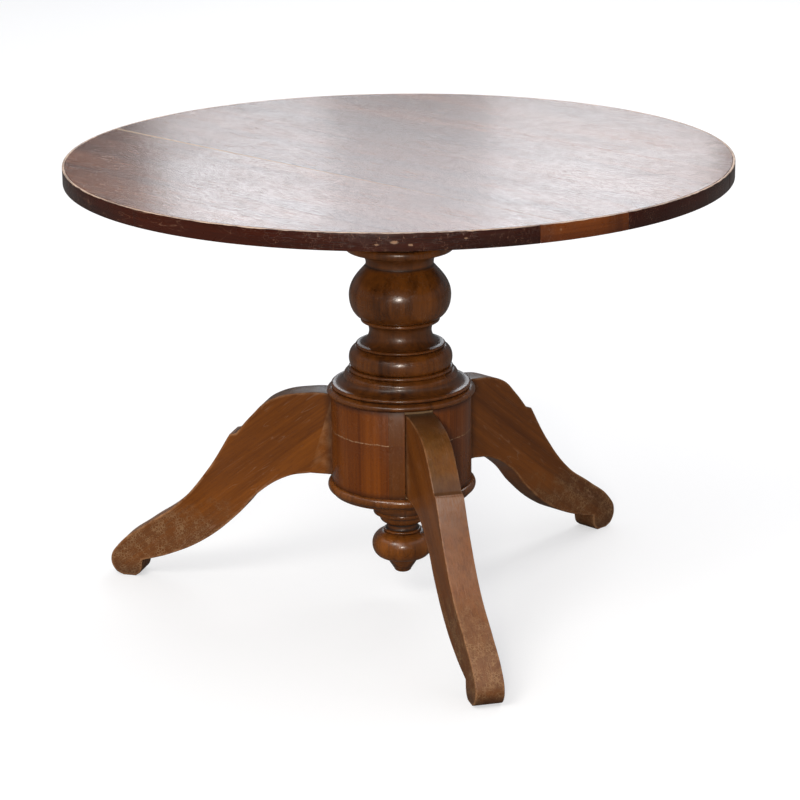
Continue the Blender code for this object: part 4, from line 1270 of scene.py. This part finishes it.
def make_leg_board():
    """The leg along +X, sawn and rounded, before it is jointed and turned to its place."""
    inside = CORE_RADIUS - BEYOND
    places = [(inside, LEG_RISE * LEG_OUTLINE[-1][1], False), (inside, LEG_RISE, False)]
    places += [(DRUM_RADIUS + LEG_REACH * share, LEG_RISE * rise, soft) for share, rise, soft in LEG_OUTLINE]
    deselect_all()
    bpy.ops.curve.primitive_bezier_curve_add()
    guide = bpy.context.object
    guide.data.dimensions = "2D"
    guide.data.fill_mode = "BOTH"
    guide.data.extrude = LEG_THICKNESS / 2
    guide.data.resolution_u = 14
    spline = guide.data.splines[0]
    spline.bezier_points.add(len(places) - 2)
    for knot, (along, up, soft) in zip(spline.bezier_points, places):
        knot.co = (along, up, 0.0)
        knot.handle_left_type = knot.handle_right_type = "AUTO" if soft else "VECTOR"
    spline.use_cyclic_u = True
    bpy.ops.object.convert(target="MESH")
    board = bpy.context.object
    board.rotation_euler = (math.pi / 2, 0, 0)
    put_in_mesh(board)
    close_up(board)
    start_edit(board)
    pick(board, lambda face: abs(face.normal.y) > 0.999)
    bpy.ops.mesh.dissolve_faces()
    bpy.ops.object.mode_set(mode="OBJECT")
    apply_modifier(board, "BEVEL", width=LEG_ARRIS, segments=4, angle_limit=math.radians(50))
    start_edit(board)
    sides = pick(board, lambda face: abs(face.normal.y) > 0.999 and face.calc_area() > 0.01)
    bpy.ops.mesh.inset(thickness=ARRIS_INSET)
    bpy.ops.object.mode_set(mode="OBJECT")
    print("flat sides inset:", sides)
    places = points_of(board)
    half = LEG_THICKNESS / 2
    write_attribute(board, "flat_side", np.clip((np.abs(places[:, 1]) - half + LEG_ARRIS) / LEG_ARRIS, 0, 1))
    arris = np.ones(len(places))
    for face in board.data.polygons:
        if face.select:
            arris[face.vertices] = 0.0
    write_attribute(board, "arris", arris)
    ups = np.array([point.normal.z for point in board.data.vertices])
    write_attribute(board, "facing_up", np.clip(ups * 4, 0, 1))
    print("a leg's board has", len(places), "points")
    return board


def joint_leg(board):
    """Hollows the leg's shoulder to the drum's core and adds the dovetail that holds it there."""
    height = LEG_RISE + 4 * BEYOND
    deselect_all()
    bpy.ops.mesh.primitive_cylinder_add(vertices=256, radius=CORE_RADIUS + SEAM_GAP, depth=height,
                                        location=(0, 0, height / 2 - 2 * BEYOND))
    hollow = bpy.context.object
    put_in_mesh(hollow)
    apply_modifier(board, "BOOLEAN", operation="DIFFERENCE", object=hollow, solver="EXACT")
    bpy.data.objects.remove(hollow, do_unlink=True)
    top = drum_high.z - DOVETAIL_DROP
    bottom = LEG_RISE * LEG_OUTLINE[-1][1] + LEG_ARRIS
    back = CORE_RADIUS + SEAM_GAP - DOVETAIL_DEPTH
    front = CORE_RADIUS + BEYOND
    deselect_all()
    bpy.ops.mesh.primitive_cube_add(size=1.0)
    tail = bpy.context.object
    tail.scale = (front - back, DOVETAIL_NECK, top - bottom)
    tail.location = ((front + back) / 2, 0, (top + bottom) / 2)
    put_in_mesh(tail)
    start_edit(tail)
    pick(tail, lambda face: face.normal.x < -0.9)
    bpy.ops.transform.resize(value=(1, DOVETAIL_WIDTH / DOVETAIL_NECK, 1))
    bpy.ops.object.mode_set(mode="OBJECT")
    apply_modifier(board, "BOOLEAN", operation="UNION", object=tail, solver="EXACT")
    bpy.data.objects.remove(tail, do_unlink=True)


def place_leg(board, name, node, seed):
    """A copy of the leg with its own mesh, turned to where the frame's leg is."""
    leg = copy_of(board, name)
    write_attribute(leg, "leg_place", points_of(leg), "FLOAT_VECTOR")
    write_attribute(leg, "leg_seed", np.full(len(leg.data.vertices), seed))
    places = points_of(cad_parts[node])
    leg.rotation_euler = (0, 0, math.atan2(places[:, 1].mean(), places[:, 0].mean()))
    put_in_mesh(leg)
    smooth(leg, 40)
    settle(leg, leg_polish, "pedestal", node)


board = make_leg_board()
joint_leg(board)
place_leg(board, "scroll_leg_back", "leg_back", 0.37)
place_leg(board, "scroll_leg_left", "leg_left", 1.91)
place_leg(board, "scroll_leg_front", "leg_right", 3.13)
bpy.data.objects.remove(board, do_unlink=True)

# %% [markdown]
# ## What is under the top
# The bearers, the block, the wedge and the keeper are plain joiner's work, planed and left without
# polish. Their shapes in the frame are right, so they are kept as copies, welded, with their arrises
# eased as a plane leaves them. The drum's core can't be seen from anywhere, so the frame's own node
# stays and only takes a finish. The wood is duller, and its grain runs along the piece.

# %% Joiner's pieces: finish
def make_plain_wood(name, dark, light, turn_grain, rough=0.55):
    material, tree, here = new_finish(name)
    grain = place_group(tree, walnut_grain, Place=stretched(tree, here, (1, 1, 1), turn=turn_grain),
                        Figure=14.0, Fibre=200.0, Contrast=1.1, Dark=dark, Light=light)
    wear = place_group(tree, age_and_use, Place=here, Scale=1.2)
    colour = mix(tree, ramp(tree, wear["Dull"], 0.0, 1.0, 0.0, 0.40), grain["Colour"], dark)
    colour = tint(tree, colour, wear["Scratches"], 0.4, (0.30, 0.19, 0.11, 1))
    height = total(tree, (grain["Height"], 0.9), (wear["Scratches"], -0.5), (wear["Dents"], -1.0))
    roughness = maths(tree, "MULTIPLY_ADD", wear["Dull"], 0.18, rough)
    finish_wood(tree, colour, roughness, height, strength=0.6)
    return material


ALONG_X = (0, 0, 0)
ALONG_Y = (0, 0, 90)
ALONG_Z = (0, 90, 0)
WALNUT_DARK = (0.060, 0.024, 0.010, 1)
WALNUT_LIGHT = (0.200, 0.086, 0.036, 1)
bearer_wood = make_plain_wood("bearer_walnut", WALNUT_DARK, WALNUT_LIGHT, ALONG_Y)
block_wood = make_plain_wood("block_walnut", WALNUT_DARK, WALNUT_LIGHT, ALONG_X)
beech = make_plain_wood("bare_beech", (0.20, 0.115, 0.055, 1), (0.42, 0.28, 0.15, 1), ALONG_Z, rough=0.7)
print("plain woods:", bearer_wood.name, block_wood.name, beech.name)

# %% Joiner's pieces
def eased_copy(name, node, finish, body, width=0.0008):
    """A welded copy of a frame node with its arrises eased."""
    copy = copy_of(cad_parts[node], name)
    for key in [key for key in copy.keys() if key.startswith("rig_")]:
        del copy[key]
    copy.parent = None
    close_up(copy)
    start_edit(copy)
    bpy.ops.mesh.select_all(action="SELECT")
    bpy.ops.mesh.dissolve_limited(angle_limit=math.radians(1.0))
    bpy.ops.object.mode_set(mode="OBJECT")
    apply_modifier(copy, "BEVEL", width=width, segments=3, angle_limit=math.radians(50))
    smooth(copy, 35)
    settle(copy, finish, body, node)


for side in ("left", "right"):
    eased_copy(f"tapered_bearer_{side}", f"bearer_{side}", bearer_wood, "top", 0.0012)
eased_copy("swing_block", "pivot_block", block_wood, "pedestal", 0.0010)
eased_copy("button_keeper", "catch_keeper", bearer_wood, "top", 0.0006)
eased_copy("cleft_wedge", "tenon_wedge", beech, "pedestal", 0.0003)
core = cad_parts["drum_core"]
core.data.materials.clear()
core.data.materials.append(beech)
print("drum_core keeps its", len(core.data.polygons), "faces")

# %% [markdown]
# ## Iron and brass
# The pins and screws are iron, dark with a bloom of rust. The turn button is cast brass that has
# tarnished except where fingers rub it. Metal colours belong to the metal itself, so Metallic is 1 and
# the rust lowers it, because rust isn't metal.

# %% Metal finishes
def make_iron():
    material, tree, here = new_finish("old_iron")
    bloom = ramp(tree, noise(tree, here, 160.0, 5.0, 0.7), 0.45, 0.62)
    wear = place_group(tree, age_and_use, Place=here, Scale=5.0)
    colour = mix(tree, bloom, (0.115, 0.105, 0.098, 1), (0.110, 0.040, 0.016, 1))
    height = total(tree, (noise(tree, here, 420.0, 4.0), 0.8), (wear["Scratches"], -0.6))
    shader = finish_wood(tree, colour, ramp(tree, bloom, 0.0, 1.0, 0.42, 0.82), height, distance=0.0002)
    join(tree, ramp(tree, bloom, 0.0, 1.0, 1.0, 0.15), shader.inputs["Metallic"])
    return material


def make_brass():
    material, tree, here = new_finish("tarnished_brass")
    tarnish = ramp(tree, noise(tree, here, 90.0, 5.0, 0.65), 0.38, 0.64)
    wear = place_group(tree, age_and_use, Place=here, Scale=6.0)
    colour = mix(tree, tarnish, (0.60, 0.43, 0.17, 1), (0.20, 0.13, 0.055, 1))
    roughness = plus(tree, ramp(tree, tarnish, 0.0, 1.0, 0.26, 0.52),
                      times(tree, wear["Scratches"], 0.15))
    shader = finish_wood(tree, colour, roughness, noise(tree, here, 300.0, 3.0), distance=0.0001)
    shader.inputs["Metallic"].default_value = 1.0
    return material


old_iron = make_iron()
tarnished_brass = make_brass()
print("metals:", old_iron.name, tarnished_brass.name)

# %% [markdown]
# ## Screws, pins and the turn button
# Ten screws hold the bearers to the planks. A bearer tapers, so its five screws aren't all of one
# length, and the other bearer has the same five. Each of the five is turned once, on the same lathe
# as the column, its slot is cut across its head, and it is copied to both bearers, each copy with its
# own mesh. A pin is a cylinder with chamfered ends, made once and copied to both sides.

# %% Screws
SCREW_RADIUS = 0.0025
SCREW_HEAD_RADIUS = 0.0050
SCREW_SLOT = 0.0012
HEAD_HEIGHT = 0.0030
SCREW_EASE = 0.0003


def put_iron(part, name, place, body, node):
    """A copy of a small iron part at its place."""
    copy = copy_of(part, name)
    copy.location = place
    put_in_mesh(copy)
    smooth(copy, 40)
    settle(copy, old_iron, body, node)


def make_screw(low, high):
    """A screw on the Z axis, between two heights, with its head down."""
    outline = [
        (0.0, high), (SCREW_RADIUS, high - 2 * SCREW_RADIUS), (SCREW_RADIUS, low + HEAD_HEIGHT),
        (SCREW_HEAD_RADIUS, low + HEAD_HEIGHT / 4), (SCREW_HEAD_RADIUS, low), (0.0, low),
    ]
    screw = turn("screw_pattern", eased(outline, SCREW_EASE), steps=32)
    cut_box(screw, (-SCREW_SLOT / 2, -BEYOND, low - BEYOND), (SCREW_SLOT / 2, BEYOND, low + HEAD_HEIGHT / 3))
    return screw


for number in range(1, 6):
    low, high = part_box(f"bearer_left_screw_{number}")
    screw = make_screw(low.z, high.z)
    for side in ("left", "right"):
        node = f"bearer_{side}_screw_{number}"
        low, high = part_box(node)
        place = ((low.x + high.x) / 2, (low.y + high.y) / 2, 0)
        put_iron(screw, f"wood_screw_{side}_{number}", place, "top", node)
    bpy.data.objects.remove(screw, do_unlink=True)

# %% Pins and turn button
PIN_RADIUS = 0.006

low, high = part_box("pivot_pin_left")
deselect_all()
bpy.ops.mesh.primitive_cylinder_add(vertices=48, radius=PIN_RADIUS, depth=high.x - low.x,
                                    rotation=(0, math.pi / 2, 0))
pin = bpy.context.object
put_in_mesh(pin)
apply_modifier(pin, "BEVEL", width=PIN_RADIUS / 7, segments=3, angle_limit=math.radians(60))
for side in ("left", "right"):
    low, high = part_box(f"pivot_pin_{side}")
    put_iron(pin, f"iron_pin_{side}", (low + high) / 2, "pedestal", f"pivot_pin_{side}")
bpy.data.objects.remove(pin, do_unlink=True)
eased_copy("turn_button", "catch_button", tarnished_brass, "catch", 0.0005)
eased_copy("button_screw", "catch_screw", old_iron, "pedestal", 0.0003)
